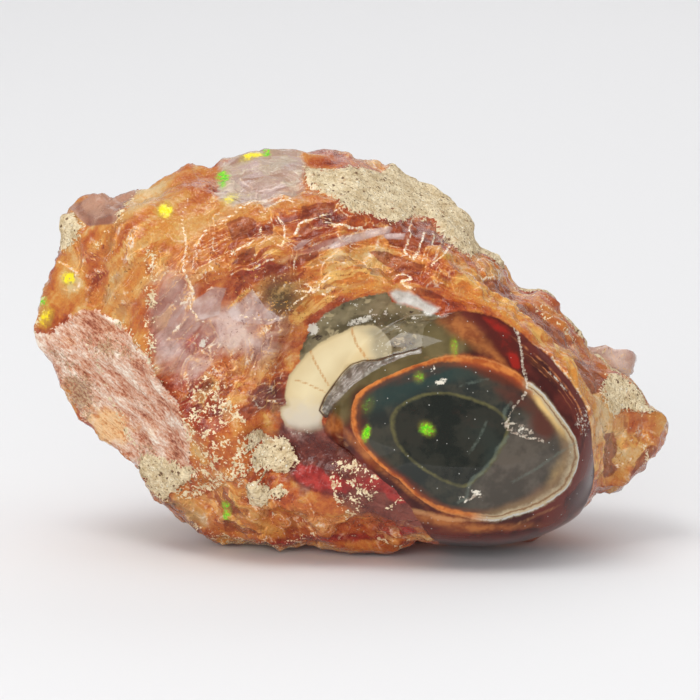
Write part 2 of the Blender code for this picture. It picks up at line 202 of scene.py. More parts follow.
CRUST_LINES = (
    (0.16, ((146, 182), (131, 200), (114, 224), (96, 246))), (0.30, ((150, 252), (152, 300), (150, 350))),
    (0.20, ((120, 323), (137, 343), (148, 355), (157, 376), (175, 395), (184, 419), (190, 440),
        (192, 468))),
    (0.22, ((46, 300), (44, 318), (38, 336))),
    (0.24, ((190, 522), (215, 538), (250, 545), (292, 543), (312, 536))),
    (0.16, ((338, 462), (346, 480), (342, 498), (347, 516))), (0.10, ((346, 464), (364, 461), (382, 478))),
    (0.12, ((348, 492), (366, 497), (380, 488))), (0.12, ((384, 512), (400, 499), (418, 505))),
    (0.06, ((356, 478), (350, 508))), (0.12, ((230, 452), (246, 470), (238, 486))),
    (0.10, ((380, 536), (400, 547), (414, 538))), (0.10, ((88, 341), (103, 380), (125, 427), (146, 470))),
    (0.14, ((640, 440), (655, 470), (630, 486))),
)
PINK_FACE = (
    (39, 335), (52, 334), (68, 320), (84, 309), (102, 312), (120, 323), (137, 343), (148, 355), (157, 376),
    (175, 395), (183, 419), (191, 438), (192, 465), (187, 481), (165, 499), (145, 476), (129, 459),
    (99, 435), (80, 414), (64, 386), (50, 361), (34, 346),
)
BROWN_FACE = ((66, 205), (96, 193), (146, 180), (131, 200), (114, 224), (86, 226), (76, 216))
WINDOW_FACE = (
    (216, 160), (250, 148), (275, 144), (300, 148), (306, 168), (302, 186), (296, 194), (268, 204),
    (250, 203), (232, 210), (214, 196), (222, 178),
)
CREAM_AREA = (
    (285, 389), (289, 375), (298, 363), (309, 351), (317, 344), (331, 337), (346, 330), (355, 326),
    (366, 325), (376, 326), (382, 330), (390, 340), (393, 349), (391, 356), (375, 360), (369, 360),
    (358, 365), (347, 367), (343, 377), (333, 386), (328, 395), (322, 404), (324, 412), (322, 423),
    (324, 430), (309, 433), (298, 433), (286, 426), (280, 415), (280, 407), (288, 405), (284, 396),
)
OLIVE_AREA = (
    (300, 352), (309, 331), (324, 314), (345, 302), (361, 297), (387, 292), (393, 302), (404, 305),
    (421, 310), (442, 316), (428, 338), (428, 362), (384, 374), (350, 396), (334, 420), (318, 412),
    (310, 380), (300, 362),
)
WHITE_AREA = (
    (388, 292), (398, 289), (409, 291), (423, 300), (441, 307), (431, 317), (421, 310), (404, 305),
    (397, 304),
)
SILVER_AREA = (
    (321, 410), (326, 398), (334, 387), (343, 375), (352, 366), (364, 362), (378, 362), (392, 357),
    (408, 353), (422, 349), (423, 354), (408, 359), (392, 363), (380, 368), (368, 376), (357, 386),
    (345, 395), (335, 404), (326, 416),
)

EYE_MIDDLE = (462, 438)
EYE_INNER = (
    (392, 427), (395, 441), (405, 454), (417, 465), (431, 474), (447, 482), (464, 487), (469, 485),
    (478, 476), (491, 462), (497, 451), (505, 438), (508, 421), (503, 415), (490, 407), (476, 401),
    (460, 396), (443, 393), (426, 394), (411, 399), (399, 407), (392, 417),
)
EYE_RING = (
    (356, 396), (353, 410), (354, 427), (360, 441), (369, 453), (383, 467), (400, 479), (414, 493),
    (429, 503), (447, 510), (462, 513), (476, 516), (495, 518), (512, 513), (533, 507), (550, 498),
    (566, 486), (575, 469), (578, 455), (574, 438), (566, 426), (553, 410), (541, 395), (526, 383),
    (505, 369), (486, 363), (467, 360), (447, 359), (429, 362), (409, 368), (392, 375), (374, 383),
    (362, 390),
)
EYE_EDGE = (
    (323, 431), (330, 412), (347, 393), (368, 376), (392, 363), (422, 354), (424, 327), (440, 316),
    (458, 310), (498, 318), (533, 344), (564, 374), (585, 405), (592, 445), (593, 484), (577, 522),
    (545, 546), (507, 558), (462, 560), (436, 548), (422, 526), (410, 506), (394, 489), (375, 473),
    (353, 456),
)

# Thin cracks: half-width in pixels, then the points that each runs through
CREAM_CRACKS = (
    (0.8, ((350, 322), (353, 335), (357, 345), (362, 352), (368, 361))),
    (0.6, ((309, 346), (313, 358), (320, 371), (329, 386))), (0.45, ((295, 380), (306, 383), (325, 392))),
)
EYE_CRACKS = (
    (0.9, ((516, 322), (519, 338), (522, 352), (523, 366), (527, 380), (528, 388), (523, 398))),
    (0.5, ((523, 398), (514, 406), (508, 420))),
    (1.3, ((503, 424), (512, 432), (524, 436), (535, 439), (544, 441))),
    (1.0, ((505, 422), (520, 425), (532, 432))), (0.5, ((469, 487), (474, 494), (482, 498))),
    (0.5, ((461, 496), (468, 500), (474, 497))), (0.4, ((548, 372), (556, 378), (566, 390))),
    (0.3, ((505, 310), (513, 326), (517, 334))),
)
EYE_VEILS = (
    (1.0, ((508, 436), (503, 443), (497, 449), (495, 458), (488, 464), (481, 474), (474, 477), (469, 485),
        (466, 498), (458, 502))),
    (0.3, ((576, 442), (555, 456), (533, 471), (512, 482))), (0.3, ((487, 421), (478, 440), (469, 454))),
    (0.2, ((460, 386), (474, 382), (488, 379))), (0.8, ((512, 402), (505, 410), (504, 420))),
)
PALE_LINES = (
    (0.9, ((324, 412), (332, 402), (345, 394), (360, 381), (375, 367), (390, 359), (424, 352))),
    (0.8, ((183, 204), (182, 222), (186, 240), (187, 258), (184, 275), (192, 292), (194, 302))),
    (0.7, ((204, 236), (218, 225), (234, 214), (255, 202), (280, 195))),
    (0.8, ((202, 238), (196, 250), (197, 268))),
    (0.8, ((293, 236), (300, 224), (312, 214), (326, 208), (338, 204))),
    (0.6, ((250, 204), (262, 198), (274, 196), (292, 200))),
    (0.7, ((432, 222), (427, 232), (420, 244), (414, 256))), (0.7, ((436, 228), (430, 242), (424, 252))),
    (0.7, ((446, 232), (440, 246), (434, 262))), (0.6, ((412, 224), (408, 236), (404, 250))),
    (0.8, ((188, 316), (176, 330), (166, 343))), (0.6, ((188, 316), (200, 320), (214, 324))),
    (0.9, ((328, 224), (345, 226), (365, 230), (388, 228))), (0.7, ((195, 380), (194, 392), (190, 408))),
    (0.8, ((221, 375), (219, 388), (212, 402))), (0.8, ((60, 262), (74, 270), (80, 290), (62, 290))),
    (0.9, ((540, 348), (556, 362), (570, 380), (580, 396), (590, 412))),
    (0.6, ((530, 352), (548, 372), (560, 390), (568, 408))),
    (0.5, ((394, 341), (397, 335), (404, 333), (410, 336), (412, 342), (409, 348), (402, 350), (396, 347),
        (394, 341))),
    (0.9, ((604, 470), (620, 466), (634, 456), (646, 440), (654, 424))),
    (0.7, ((600, 424), (602, 445), (600, 470))),
)

# Broad washes of colour: middle, reach along and across, turn in degrees, strength
TONE_WASH = (
    (116, 216, 36, 22, -20, 0.22), (185, 205, 58, 30, -25, 0.09), (205, 178, 24, 11, 0, -0.22),
    (330, 262, 80, 18, -6, 0.09), (415, 232, 38, 13, 12, -0.22), (300, 228, 40, 13, -20, -0.14),
    (520, 300, 55, 14, 38, 0.26), (578, 362, 52, 13, 55, 0.26), (548, 322, 34, 8, 43, -0.42),
    (110, 275, 34, 40, 0, 0.15), (95, 279, 9, 13, 0, -0.42), (72, 277, 10, 14, 0, 0.30),
    (188, 438, 11, 17, -20, 0.25), (238, 503, 30, 18, 20, 0.22), (246, 524, 14, 8, 15, 0.35),
    (266, 402, 18, 12, 0, -0.34), (250, 413, 8, 8, 0, -0.4), (236, 400, 26, 4, 6, 0.35),
    (266, 416, 4, 14, -20, 0.35), (625, 442, 12, 7, 10, 0.34), (630, 474, 24, 8, -20, -0.04),
    (603, 448, 5, 26, 0, 0.35), (250, 300, 30, 10, -35, 0.20), (318, 300, 40, 9, -30, 0.22),
    (175, 236, 14, 24, 20, 0.12), (150, 195, 20, 8, -40, 0.30), (300, 520, 60, 16, 0, 0.02),
    (210, 290, 30, 14, -20, -0.10), (450, 250, 18, 18, 0, -0.08), (632, 446, 28, 22, 20, 0.25),
    (575, 395, 12, 24, 60, -0.04),
)
RED_WASH = (
    (398, 528, 34, 8, 8, 0.7), (178, 352, 26, 36, 10, 0.55), (262, 270, 24, 10, -10, 0.75),
    (318, 479, 28, 10, 20, 1.5), (388, 489, 30, 9, 24, 1.6), (320, 539, 60, 4, -4, 0.9),
    (205, 330, 34, 10, -25, 0.5), (300, 262, 30, 8, -20, 0.35), (620, 488, 26, 4, -14, 0.4),
    (196, 412, 12, 22, -10, 0.55), (285, 455, 10, 8, 0, 0.4), (560, 404, 8, 18, -25, 0.5),
    (470, 268, 30, 7, 30, 0.25), (600, 350, 10, 8, 0, 0.4), (232, 352, 24, 14, 10, 0.35),
)
OLIVE_WASH = (
    (280, 299, 20, 19, -30, 1.0), (266, 350, 20, 16, -30, 0.6), (182, 510, 22, 5, 28, 0.9),
    (500, 264, 12, 8, 50, 0.5),
)
MAROON_WASH = (
    (330, 440, 42, 12, 10, 0.9), (305, 452, 16, 18, 0, 0.8), (392, 510, 34, 10, 20, 0.7),
    (268, 396, 18, 12, 0, 0.9), (350, 478, 60, 28, 15, 0.8), (430, 524, 30, 6, 20, 0.4),
    (296, 420, 14, 20, 0, 0.3),
)
# The haze washes paint a milky lilac, partly the glass's own haze and partly a painted reflection of the
# lights on glassy faces
HAZE_AND_SHEEN_WASH = (
    (170, 308, 17, 32, 8, 0.95), (232, 322, 46, 18, 0, 0.85), (250, 345, 24, 10, 10, 0.5),
    (348, 239, 24, 4, -14, 1.1), (393, 236, 12, 3, 4, 1.0), (590, 420, 5, 30, -4, 0.45),
    (170, 365, 14, 20, -20, 0.45), (196, 362, 12, 16, 0, 0.4), (308, 252, 22, 5, -20, 0.35),
    (222, 362, 40, 24, 0, 0.25), (287, 432, 16, 6, 20, 0.3), (420, 213, 30, 4, 30, 0.2),
)
GLINT_WASH = (
    (300, 292, 52, 18, -30, 1.0), (260, 300, 30, 26, 0, 0.8), (235, 372, 42, 24, 0, 0.7),
    (545, 322, 60, 12, 42, 0.7), (622, 446, 26, 22, 0, 1.0), (250, 505, 44, 24, 0, 0.9),
    (360, 262, 120, 16, 0, 0.6), (110, 270, 36, 36, 0, 0.8), (300, 530, 90, 12, 0, 0.7),
    (215, 250, 60, 40, 0, 0.45), (378, 310, 40, 14, 0, 0.5),
)
CALM_WASH = (
    (548, 322, 34, 9, 42, 0.8), (180, 212, 34, 34, -25, 1.0), (180, 300, 24, 26, 0, 0.5),
    (112, 210, 26, 14, -20, 0.9), (300, 530, 30, 5, 0, 0.4), (250, 318, 26, 12, 0, 0.5),
    (620, 470, 22, 10, -20, 0.6), (345, 440, 44, 20, 0, 0.8), (310, 478, 24, 12, 20, 0.9),
)
VEIN_WASH = (
    (300, 225, 120, 38, 0, 1.1), (200, 250, 50, 50, 0, 0.8), (440, 250, 60, 30, 20, 0.9),
    (230, 380, 50, 40, 0, 0.7), (110, 250, 40, 40, 0, 0.8), (250, 520, 80, 26, 0, 0.7),
    (550, 340, 50, 20, 45, 0.3), (620, 450, 30, 30, 0, 0.7), (340, 540, 60, 8, 0, 0.8),
    (180, 300, 20, 30, 0, 0.5),
)


# Single facets with crisp edges: dark, light, and milky ones whose pale lilac is partly a painted reflection
# of the lights
DARK_FACETS = (
    ((393, 226), (412, 221), (430, 221), (440, 229), (443, 238), (426, 247), (419, 252), (404, 248),
        (390, 244), (383, 235)),
    ((370, 251), (387, 251), (407, 259), (426, 266), (418, 275), (398, 272), (379, 261)),
    ((302, 206), (317, 200), (334, 200), (335, 206), (314, 216), (300, 224)),
    ((409, 287), (429, 289), (443, 296), (449, 300), (418, 296)),
    ((482, 280), (494, 278), (510, 280), (519, 286), (520, 298), (502, 300), (487, 289)),
    ((513, 309), (522, 300), (537, 309), (551, 320), (566, 332), (579, 341), (572, 345), (565, 348),
        (551, 337), (534, 323), (516, 312)),
    ((576, 356), (587, 358), (598, 367), (606, 379), (604, 391), (595, 394), (587, 385), (581, 373),
        (578, 364)),
    ((606, 433), (616, 432), (622, 445), (613, 461), (620, 470), (606, 479), (603, 455)),
    ((648, 445), (660, 445), (650, 464), (636, 479), (631, 479), (635, 463)),
    ((222, 486), (229, 488), (236, 500), (242, 514), (231, 516), (224, 504)),
    ((222, 521), (236, 519), (243, 527), (257, 531), (269, 534), (246, 535), (224, 534)),
    ((239, 408), (250, 403), (257, 409), (255, 419), (246, 423), (239, 417)),
    ((226, 222), (242, 215), (256, 217), (256, 232), (247, 237), (232, 241), (229, 231)),
    ((263, 222), (272, 221), (274, 235), (267, 237), (263, 231)),
    ((298, 231), (308, 221), (312, 227), (303, 235)),
    ((298, 255), (318, 250), (320, 256), (308, 261), (297, 259)),
    ((234, 279), (252, 272), (267, 265), (283, 264), (284, 269), (270, 275), (255, 281), (239, 286)),
    ((239, 255), (256, 247), (255, 261), (242, 265), (232, 265)),
)
LIGHT_FACETS = (
    ((592, 450), (597, 446), (603, 439), (603, 463), (601, 479), (593, 479), (590, 463)),
    ((620, 442), (631, 435), (639, 442), (636, 448), (629, 446), (622, 454)),
    ((455, 270), (469, 275), (482, 284), (502, 298), (519, 312), (513, 312), (499, 304), (484, 300),
        (469, 292), (455, 284)),
    ((519, 314), (534, 326), (548, 339), (562, 350), (556, 353), (543, 347), (528, 334), (521, 323)),
    ((557, 358), (569, 357), (578, 367), (575, 376), (565, 367)),
    ((229, 486), (239, 492), (243, 504), (247, 513), (242, 516), (236, 504), (229, 495)),
    ((237, 519), (246, 517), (255, 521), (259, 527), (256, 530), (243, 527), (239, 523)),
    ((234, 382), (240, 379), (243, 385), (235, 388)),
    ((256, 409), (263, 412), (268, 416), (269, 422), (264, 425), (260, 417)),
    ((330, 272), (352, 266), (372, 270), (366, 280), (344, 288), (326, 284)),
    ((271, 247), (283, 251), (285, 256), (270, 255), (258, 260), (257, 265)),
    ((288, 316), (306, 298), (326, 295), (341, 295), (316, 312), (297, 325), (289, 323)),
    ((224, 312), (232, 302), (239, 295), (251, 287), (247, 293), (234, 304)),
)
MILKY_SHEEN_FACETS = (
    ((326, 247), (336, 240), (356, 234), (367, 230), (378, 228), (392, 227), (394, 231), (378, 236),
        (362, 240), (346, 245), (332, 248)),
    ((383, 234), (394, 233), (405, 234), (404, 240), (386, 239)),
    ((252, 289), (262, 305), (275, 315), (284, 319), (269, 325), (246, 324), (232, 320), (227, 312),
        (239, 302), (250, 292)),
    ((193, 301), (214, 287), (226, 289), (221, 302), (219, 315), (201, 320), (192, 310)),
    ((188, 302), (193, 299), (180, 316), (166, 331), (168, 320)),
    ((292, 247), (303, 238), (313, 238), (303, 246), (295, 251)),
)

# Crisp white cracks: half-width in pixels, then the points that each runs through
WHITE_CRACKS = (
    (0.3, ((412, 221), (409, 230), (411, 235), (407, 244), (404, 252))),
    (0.2, ((425, 230), (423, 238), (419, 247), (418, 251), (414, 259))),
    (0.2, ((404, 252), (414, 260), (419, 251))), (0.1, ((433, 231), (434, 238), (432, 247), (435, 252))),
    (0.2, ((449, 247), (443, 256), (435, 263), (432, 267))),
    (0.3, ((294, 233), (300, 224), (308, 219), (322, 213), (336, 209), (345, 208))),
    (0.3, ((325, 221), (342, 224), (353, 228), (363, 227))),
    (0.3, ((397, 276), (407, 275), (412, 279), (401, 282), (407, 287), (415, 289))),
    (0.3, ((481, 279), (488, 277), (495, 276))), (0.1, ((551, 358), (562, 372), (572, 385), (581, 398))),
    (0.1, ((640, 478), (646, 462), (654, 448))), (0.1, ((268, 401), (286, 402), (296, 407))),
    (0.3, ((188, 196), (186, 205), (182, 216), (183, 227), (185, 237), (187, 247), (184, 258), (183, 267),
        (187, 278), (191, 287), (194, 295))),
    (0.3, ((201, 237), (205, 231), (216, 223), (227, 217), (237, 212), (244, 205), (256, 201), (267, 201))),
    (0.1, ((201, 237), (196, 247), (194, 258), (193, 267))),
    (0.3, ((261, 222), (260, 232), (265, 238), (272, 241), (283, 246))),
    (0.2, ((262, 217), (267, 208), (278, 201), (288, 201), (295, 203))),
    (0.4, ((283, 246), (284, 236), (284, 226), (278, 218))),
    (0.2, ((232, 256), (239, 251), (247, 246), (256, 241))), (0.1, ((209, 263), (214, 272), (218, 275))),
    (0.1, ((212, 258), (219, 265))), (0.3, ((303, 282), (307, 284), (317, 292), (294, 291))),
    (0.2, ((331, 277), (321, 283), (317, 292), (334, 297))),
    (0.1, ((285, 315), (295, 303), (308, 295), (317, 292))),
    (0.1, ((239, 315), (255, 319), (272, 320), (285, 318))),
    (0.1, ((190, 300), (191, 309), (198, 319), (207, 323))),
)

# Where the outline reaches further out or less far, in millimetres
OUTLINE_TRIMS = (
    (46, 308, 14, 34, 0, 0.5), (484, 236, 15, 12, 40, -0.5), (388, 160, 16, 7, 10, 0.25),
    (206, 164, 18, 10, -20, -0.35), (652, 398, 8, 14, 0, -0.3), (522, 284, 14, 9, 42, -0.6),
)

# More spots, by the names that the material reads
SPOTS = {
    "gold_flash": ((165, 210, 6, 6.5, 0, 1.3), (231, 199, 9, 5, -35, 0.8), (247, 158, 7, 2.8, -18, 1.3),
        (68, 278, 4.4, 5.6, 0, 1.3), (52, 318, 5, 10, 10, 0.8), (259, 155, 5, 2.6, -12, 1.0)),
    "green_flash": ((223, 177, 5.6, 5.6, 0, 1.4), (266, 153, 3.6, 2.8, 0, 1.4), (48, 302, 5, 5, 0, 0.7),
        (226, 512, 3.2, 8, -14, 1.2), (366, 434, 3.0, 7.0, 14, 1.1), (419, 377, 5, 5, 0, 0.6),
        (427, 429, 7.0, 5.0, 40, 0.9), (454, 347, 3.4, 8, -6, 0.7), (368, 405, 6, 9, 20, 0.35),
        (446, 257, 4, 3, 0, 0.5)),
    "ring_glow": ((500, 376, 34, 7, 22, 1.0), (540, 398, 16, 7, 48, 0.9), (420, 376, 40, 4, -16, 0.5),
        (362, 420, 5, 24, 0, 0.5), (420, 492, 36, 5, 34, 0.6), (390, 466, 26, 4, 40, 0.4)),
    "lobe_arcs": ((560, 376, 34, 12, 48, 1.2), (520, 336, 20, 6, 40, 0.5), (580, 430, 6, 40, 0, 0.5)),
    "ring_cream": ((544, 404, 13, 5, 50, 1.2), (561, 424, 6, 13, -24, 0.8), (556, 470, 8, 16, 24, 0.35)),
    # Bright gold glow spots: partly the glass's own colour, partly painted glow and highlights
    "glow": ((232, 505, 10, 20, -15, 1.1), (250, 525, 15, 5, 12, 1.2), (598, 456, 5, 18, 0, 1.1),
        (466, 290, 30, 9, 25, 0.8), (508, 306, 40, 8, 38, 1.3), (584, 380, 9, 26, -16, 1.1),
        (564, 356, 26, 7, 50, 1.2), (164, 226, 22, 20, -30, 0.8), (330, 318, 28, 4, -38, 0.6),
        (370, 286, 30, 8, -10, 0.6), (70, 268, 12, 9, 0, 0.7), (630, 444, 16, 7, 10, 0.7),
        (262, 300, 12, 5, -40, 0.6), (118, 300, 10, 16, 0, 0.5), (205, 300, 40, 5, -28, 0.4),
        (582, 492, 4, 10, 30, 1.0), (188, 440, 8, 12, -20, 0.7)),
    # Painted glints and highlights on the glass, with a few small pale chips on the eye
    "white_glint": ((313, 329, 5, 5, 0, 1.3), (356, 305, 2.2, 2.2, 0, 1.0), (371, 310, 2, 2, 0, 1.0),
        (414, 318, 2.2, 1.6, 0, 1.0), (361, 320, 14, 3.4, -16, 0.9), (322, 318, 3, 1.4, -40, 0.8),
        (398, 328, 6, 2, 30, 0.7), (386, 312, 3, 6, 20, 0.5), (344, 300, 5, 1.5, -20, 0.6),
        (434, 368, 2.4, 2.4, 0, 0.9), (433, 374, 1.6, 2.4, 0, 0.8), (441, 382, 5.4, 1.9, -22, 1.5),
        (477, 493, 5.4, 1.8, 22, 1.3), (460, 498, 2, 1.4, 0, 0.9), (466, 501, 3, 1.2, -20, 0.9),
        (521, 430, 5, 3, 10, 0.8), (583, 420, 8, 16, 0, 0.55), (300, 433, 14, 3, 0, 0.5),
        (205, 340, 6, 3, -40, 0.7), (202, 345, 3, 3, 0, 0.7)),
    "pink_dark": ((80, 393, 14, 20, -30, 1.0), (108, 348, 22, 10, 20, 0.7), (58, 352, 12, 6, 40, 0.6),
        (150, 460, 10, 20, -30, 0.6), (140, 400, 10, 24, -30, 0.35)),
    "pink_honey": ((108, 426, 22, 15, 35, 1.1), (66, 340, 16, 5, 20, 0.5), (150, 430, 10, 14, -20, 0.4)),
    # Painted shade on the cream band: greyer towards its right end and along parts of its edges
    "cream_painted_shade": ((391, 345, 17, 17, 0, 1.3), (366, 330, 20, 4, 10, 0.4), (318, 428, 14, 5, 0, 0.5)),
    "lobe_olive": ((425, 338, 26, 18, 0, 1.2), (385, 372, 40, 8, -22, 1.0), (342, 408, 10, 16, 0, 0.9),
        (455, 345, 20, 9, 0, 0.6)),
    "lobe_orange": ((458, 324, 20, 9, 20, 0.75), (486, 346, 26, 8, 26, 0.8), (508, 366, 14, 3, 40, 1.0),
        (333, 424, 8, 9, 0, 0.9), (362, 450, 22, 4, 48, 1.0), (404, 488, 22, 2.5, 40, 0.8),
        (440, 520, 30, 5, 8, 1.0), (495, 528, 40, 4, -4, 0.7), (545, 372, 26, 3, 45, 0.35)),
    "lobe_red": ((486, 318, 22, 8, 20, 0.7), (512, 354, 8, 18, -30, 0.9), (515, 363, 4, 8, -20, 1.3),
        (494, 324, 16, 3, 34, 0.5), (500, 336, 16, 16, 0, 0.7), (575, 442, 3, 12, 0, 0.5),
        (550, 388, 14, 4, 50, 0.5)),
    "lobe_pale": ((428, 514, 24, 2.6, 14, 0.9), (342, 440, 12, 3, 52, 0.6), (466, 520, 26, 2, 2, 0.8),
        (540, 514, 26, 2, -24, 0.7), (430, 357, 20, 2.5, -6, 0.5)),
    "right_ring": ((570, 445, 34, 54, -12, 1.5), (545, 404, 20, 20, 0, 0.9), (520, 512, 40, 12, -10, 1.0)),
    "smoke": ((535, 460, 40, 34, -10, 1.3), (505, 490, 40, 16, -20, 0.9), (520, 440, 20, 14, 0, 0.5)),
    "eye_teal": ((395, 392, 40, 12, -22, 0.9), (445, 374, 40, 8, 0, 0.7), (500, 462, 16, 18, 0, 0.6),
        (480, 430, 16, 12, 0, 0.35)),
    "eye_rust": ((545, 425, 12, 12, 0, 1.1), (515, 398, 24, 8, 30, 0.8), (470, 420, 30, 10, 10, 0.3),
        (545, 490, 24, 8, -30, 0.4)),
}

# Bites in the broken glass: their size in millimetres, random seed and number
WIDE_BOWLS = (5.5, 33, 160)
SHELL_BOWLS = (2.4, 31, 1100)
SMALL_BOWLS = (1.0, 32, 12000)
# Angular patches: random seed and number
PATCHES = (57, 12000)
# How much the streaks are drawn out across the shells, along them and in depth
FLOW_STRETCH = np.array((1.0, 0.22, 0.5))


@functools.lru_cache(maxsize=None)
def lattice_values(seed):
    return np.random.default_rng(seed).uniform(-1.0, 1.0, (NOISE_CELLS,) * 3)


def lattice_noise(points, cell, seed):
    lattice = lattice_values(seed)
    scaled = points / cell
    low = np.floor(scaled).astype(int)
    part = scaled - low
    part = part * part * (3.0 - 2.0 * part)
    total = np.zeros(len(points))
    for corner in np.ndindex(2, 2, 2):
        index = (low + corner) % NOISE_CELLS
        weight = np.where(corner, part, 1.0 - part).prod(axis=1)
        total += weight * lattice[index[:, 0], index[:, 1], index[:, 2]]
    return total


def layered_noise(points, layers):
    return sum(height * lattice_noise(points, size, seed) for size, height, seed in layers)


def smooth_max(a, b, width):
    blend = np.maximum(width - np.abs(a - b), 0.0) / width
    return np.maximum(a, b) + blend * blend * width / 4.0


def smooth_min(a, b, width):
    return -smooth_max(-a, -b, width)


def smooth_step(low, high, value):
    share = np.clip((value - low) / (high - low), 0.0, 1.0)
    return share * share * (3.0 - 2.0 * share)


def outline_radii():
    offset = OUTLINE - CENTRE[:2]
    angles = np.arctan2(offset[:, 1], offset[:, 0])
    radii = np.hypot(offset[:, 0], offset[:, 1])
    even = np.linspace(-math.pi, math.pi, OUTLINE_SAMPLES, endpoint=False)
    sharp = np.interp(even, angles[np.argsort(angles)], radii[np.argsort(angles)], period=2 * math.pi)
    turned = np.abs((even - even[0] + math.pi) % (2 * math.pi) - math.pi)
    kernel = np.exp(-0.5 * (turned / OUTLINE_BLUR) ** 2)
    soft = np.real(np.fft.ifft(np.fft.fft(sharp) * np.fft.fft(kernel / kernel.sum())))
    return even, sharp, soft


OUTLINE_ANGLES, OUTLINE_SHARP, OUTLINE_SOFT = outline_radii()


def cushion(points):
    offset = points - CENTRE
    side = np.hypot(offset[:, 0], offset[:, 1])
    length = np.maximum(np.linalg.norm(offset, axis=1), 1e-9)
    angle = np.arctan2(offset[:, 1], offset[:, 0])
    sharp = np.interp(angle, OUTLINE_ANGLES, OUTLINE_SHARP, period=2 * math.pi)
    soft = np.interp(angle, OUTLINE_ANGLES, OUTLINE_SOFT, period=2 * math.pi)
    nearness = np.exp(-((offset[:, 2] / length / RIM_SPREAD) ** 2))
    rim = soft + (sharp - soft) * nearness
    depth = np.where(offset[:, 2] > 0.0, FRONT_DEPTH, BACK_DEPTH)
    shape = (side / rim) ** CUSHION_POWER + (np.abs(offset[:, 2]) / depth) ** CUSHION_POWER
    return length * (1.0 - shape ** (-1.0 / CUSHION_POWER))


def lobe_offset(points):
    offset = points - LOBE_CENTRE
    cosine, sine = math.cos(LOBE_TURN), math.sin(LOBE_TURN)
    along = offset[:, 0] * cosine + offset[:, 1] * sine
    across = offset[:, 1] * cosine - offset[:, 0] * sine
    return np.stack((along, across, offset[:, 2]), axis=1)


def lobe(points):
    offset = lobe_offset(points)
    length = np.maximum(np.linalg.norm(offset, axis=1), 1e-9)
    share = np.abs(offset / LOBE_SIZE)
    flat = share[:, 0] ** LOBE_OUTLINE_POWER + share[:, 1] ** LOBE_OUTLINE_POWER
    shape = flat ** (LOBE_DEPTH_POWER / LOBE_OUTLINE_POWER) + share[:, 2] ** LOBE_DEPTH_POWER
    return length * (1.0 - np.maximum(shape, 1e-9) ** (-1.0 / LOBE_DEPTH_POWER))


def lobe_margin(points):
    offset = lobe_offset(points)[:, :2]
    shape = (np.abs(offset / LOBE_SIZE[:2]) ** LOBE_OUTLINE_POWER).sum(axis=1) ** (1.0 / LOBE_OUTLINE_POWER)
    return (shape - 1.0) * np.linalg.norm(offset, axis=1) / np.maximum(shape, 1e-9)


def lip_side(points):
    offset = points[:, :2] - LOBE_CENTRE[:2]
    turn = np.arctan2(offset[:, 1], offset[:, 0]) - TROUGH_MIDDLE
    turn = np.abs((turn + math.pi) % (2 * math.pi) - math.pi)
    return 1.0 - smooth_step(0.55 * TROUGH_HALF_ANGLE, TROUGH_HALF_ANGLE, turn)


def trough(points):
    across = 1.0 - smooth_step(0.65 * TROUGH_WIDTH, TROUGH_WIDTH, lobe_margin(points))
    return TROUGH_DEPTH * lip_side(points) * across * (points[:, 2] > 0.0)


def shell_radius(points):
    offset = points[:, :2] - np.array(SHELL_MIDDLE)
    return np.hypot(offset[:, 0], SHELL_SQUASH * offset[:, 1])


def shell_steps(points):
    offset = points[:, :2] - np.array(SHELL_MIDDLE)
    radius = shell_radius(points) + 0.7 * lattice_noise(points, 4.0, 21)
    above = smooth_step(2.0, 6.0, offset[:, 1]) * smooth_step(0.0, 2.0, points[:, 2])
    drop = sum(height * smooth_step(reach, reach + SHELL_EDGE, radius) for reach, height in SHELL_STEPS)
    return drop * above


def crust(points):
    ragged = CRUST_RAGGED * (lattice_noise(points, 1.6, 11) + 0.6 * lattice_noise(points, 0.8, 13))
    thickness = np.zeros(len(points))
    for middle, radius, height in CRUSTS.values():
        inside = 1.0 - np.linalg.norm(points - np.array(middle), axis=1) / radius + ragged
        thickness = np.maximum(thickness, height * smooth_step(0.0, CRUST_EDGE, inside))
    return thickness


def height_above_floor(points):
    return points[:, 1] * math.cos(FACE_LEAN) + points[:, 2] * math.sin(FACE_LEAN)


def spur_sides():
    """The flat sides of the spur, as (outward direction, point) pairs in face millimetres."""
    chip = bmesh.new()
    for place in SPUR_CORNERS:
        chip.verts.new(place)
    hull = bmesh.ops.convex_hull(chip, input=chip.verts[:])
    bmesh.ops.delete(chip, geom=hull["geom_interior"], context="VERTS")
    middle = np.array(SPUR_CORNERS).mean(axis=0)
    sides = []
    for face in chip.faces:
        face.normal_update()
        direction, point = np.array(face.normal), np.array(face.verts[0].co)
        if (middle - point) @ direction > 0.0:
            direction = -direction
        sides.append((direction, point))
    chip.free()
    return sides


SPUR_SIDES = spur_sides()


def spur(points):
    distance = np.full(len(points), 99.0)
    near = (points[:, 0] > 11.0) & (points[:, 2] < 1.0)
    close = points[near]
    if len(close):
        distance[near] = np.max([(close - point) @ direction for direction, point in SPUR_SIDES], axis=0)
    return distance


def stone(points):
    body = cushion(points) + trough(points) + shell_steps(points)
    for normal, point in FRACTURES.values():
        direction = np.array(normal) / np.linalg.norm(normal)
        body = smooth_max(body, (points - np.array(point)) @ direction, FRACTURE_BLEND)
    for place, facing, radius, bite in SCOOPS.values():
        ball = np.array(place) + np.array(facing) / np.linalg.norm(facing) * (radius - bite)
        body = smooth_max(body, radius - np.linalg.norm(points - ball, axis=1), SCOOP_BLEND)
    rough = layered_noise(points, ROUGHNESS)
    body = body + rough - crust(points)
    blend = LOBE_BLEND + (LIP_BLEND - LOBE_BLEND) * lip_side(points)
    whole = smooth_min(body, lobe(points) + LOBE_SMOOTHNESS * rough, blend)
    whole = np.minimum(whole, spur(points) + 0.1 * rough)
    return np.maximum(whole, FLOOR_CUT - height_above_floor(points))


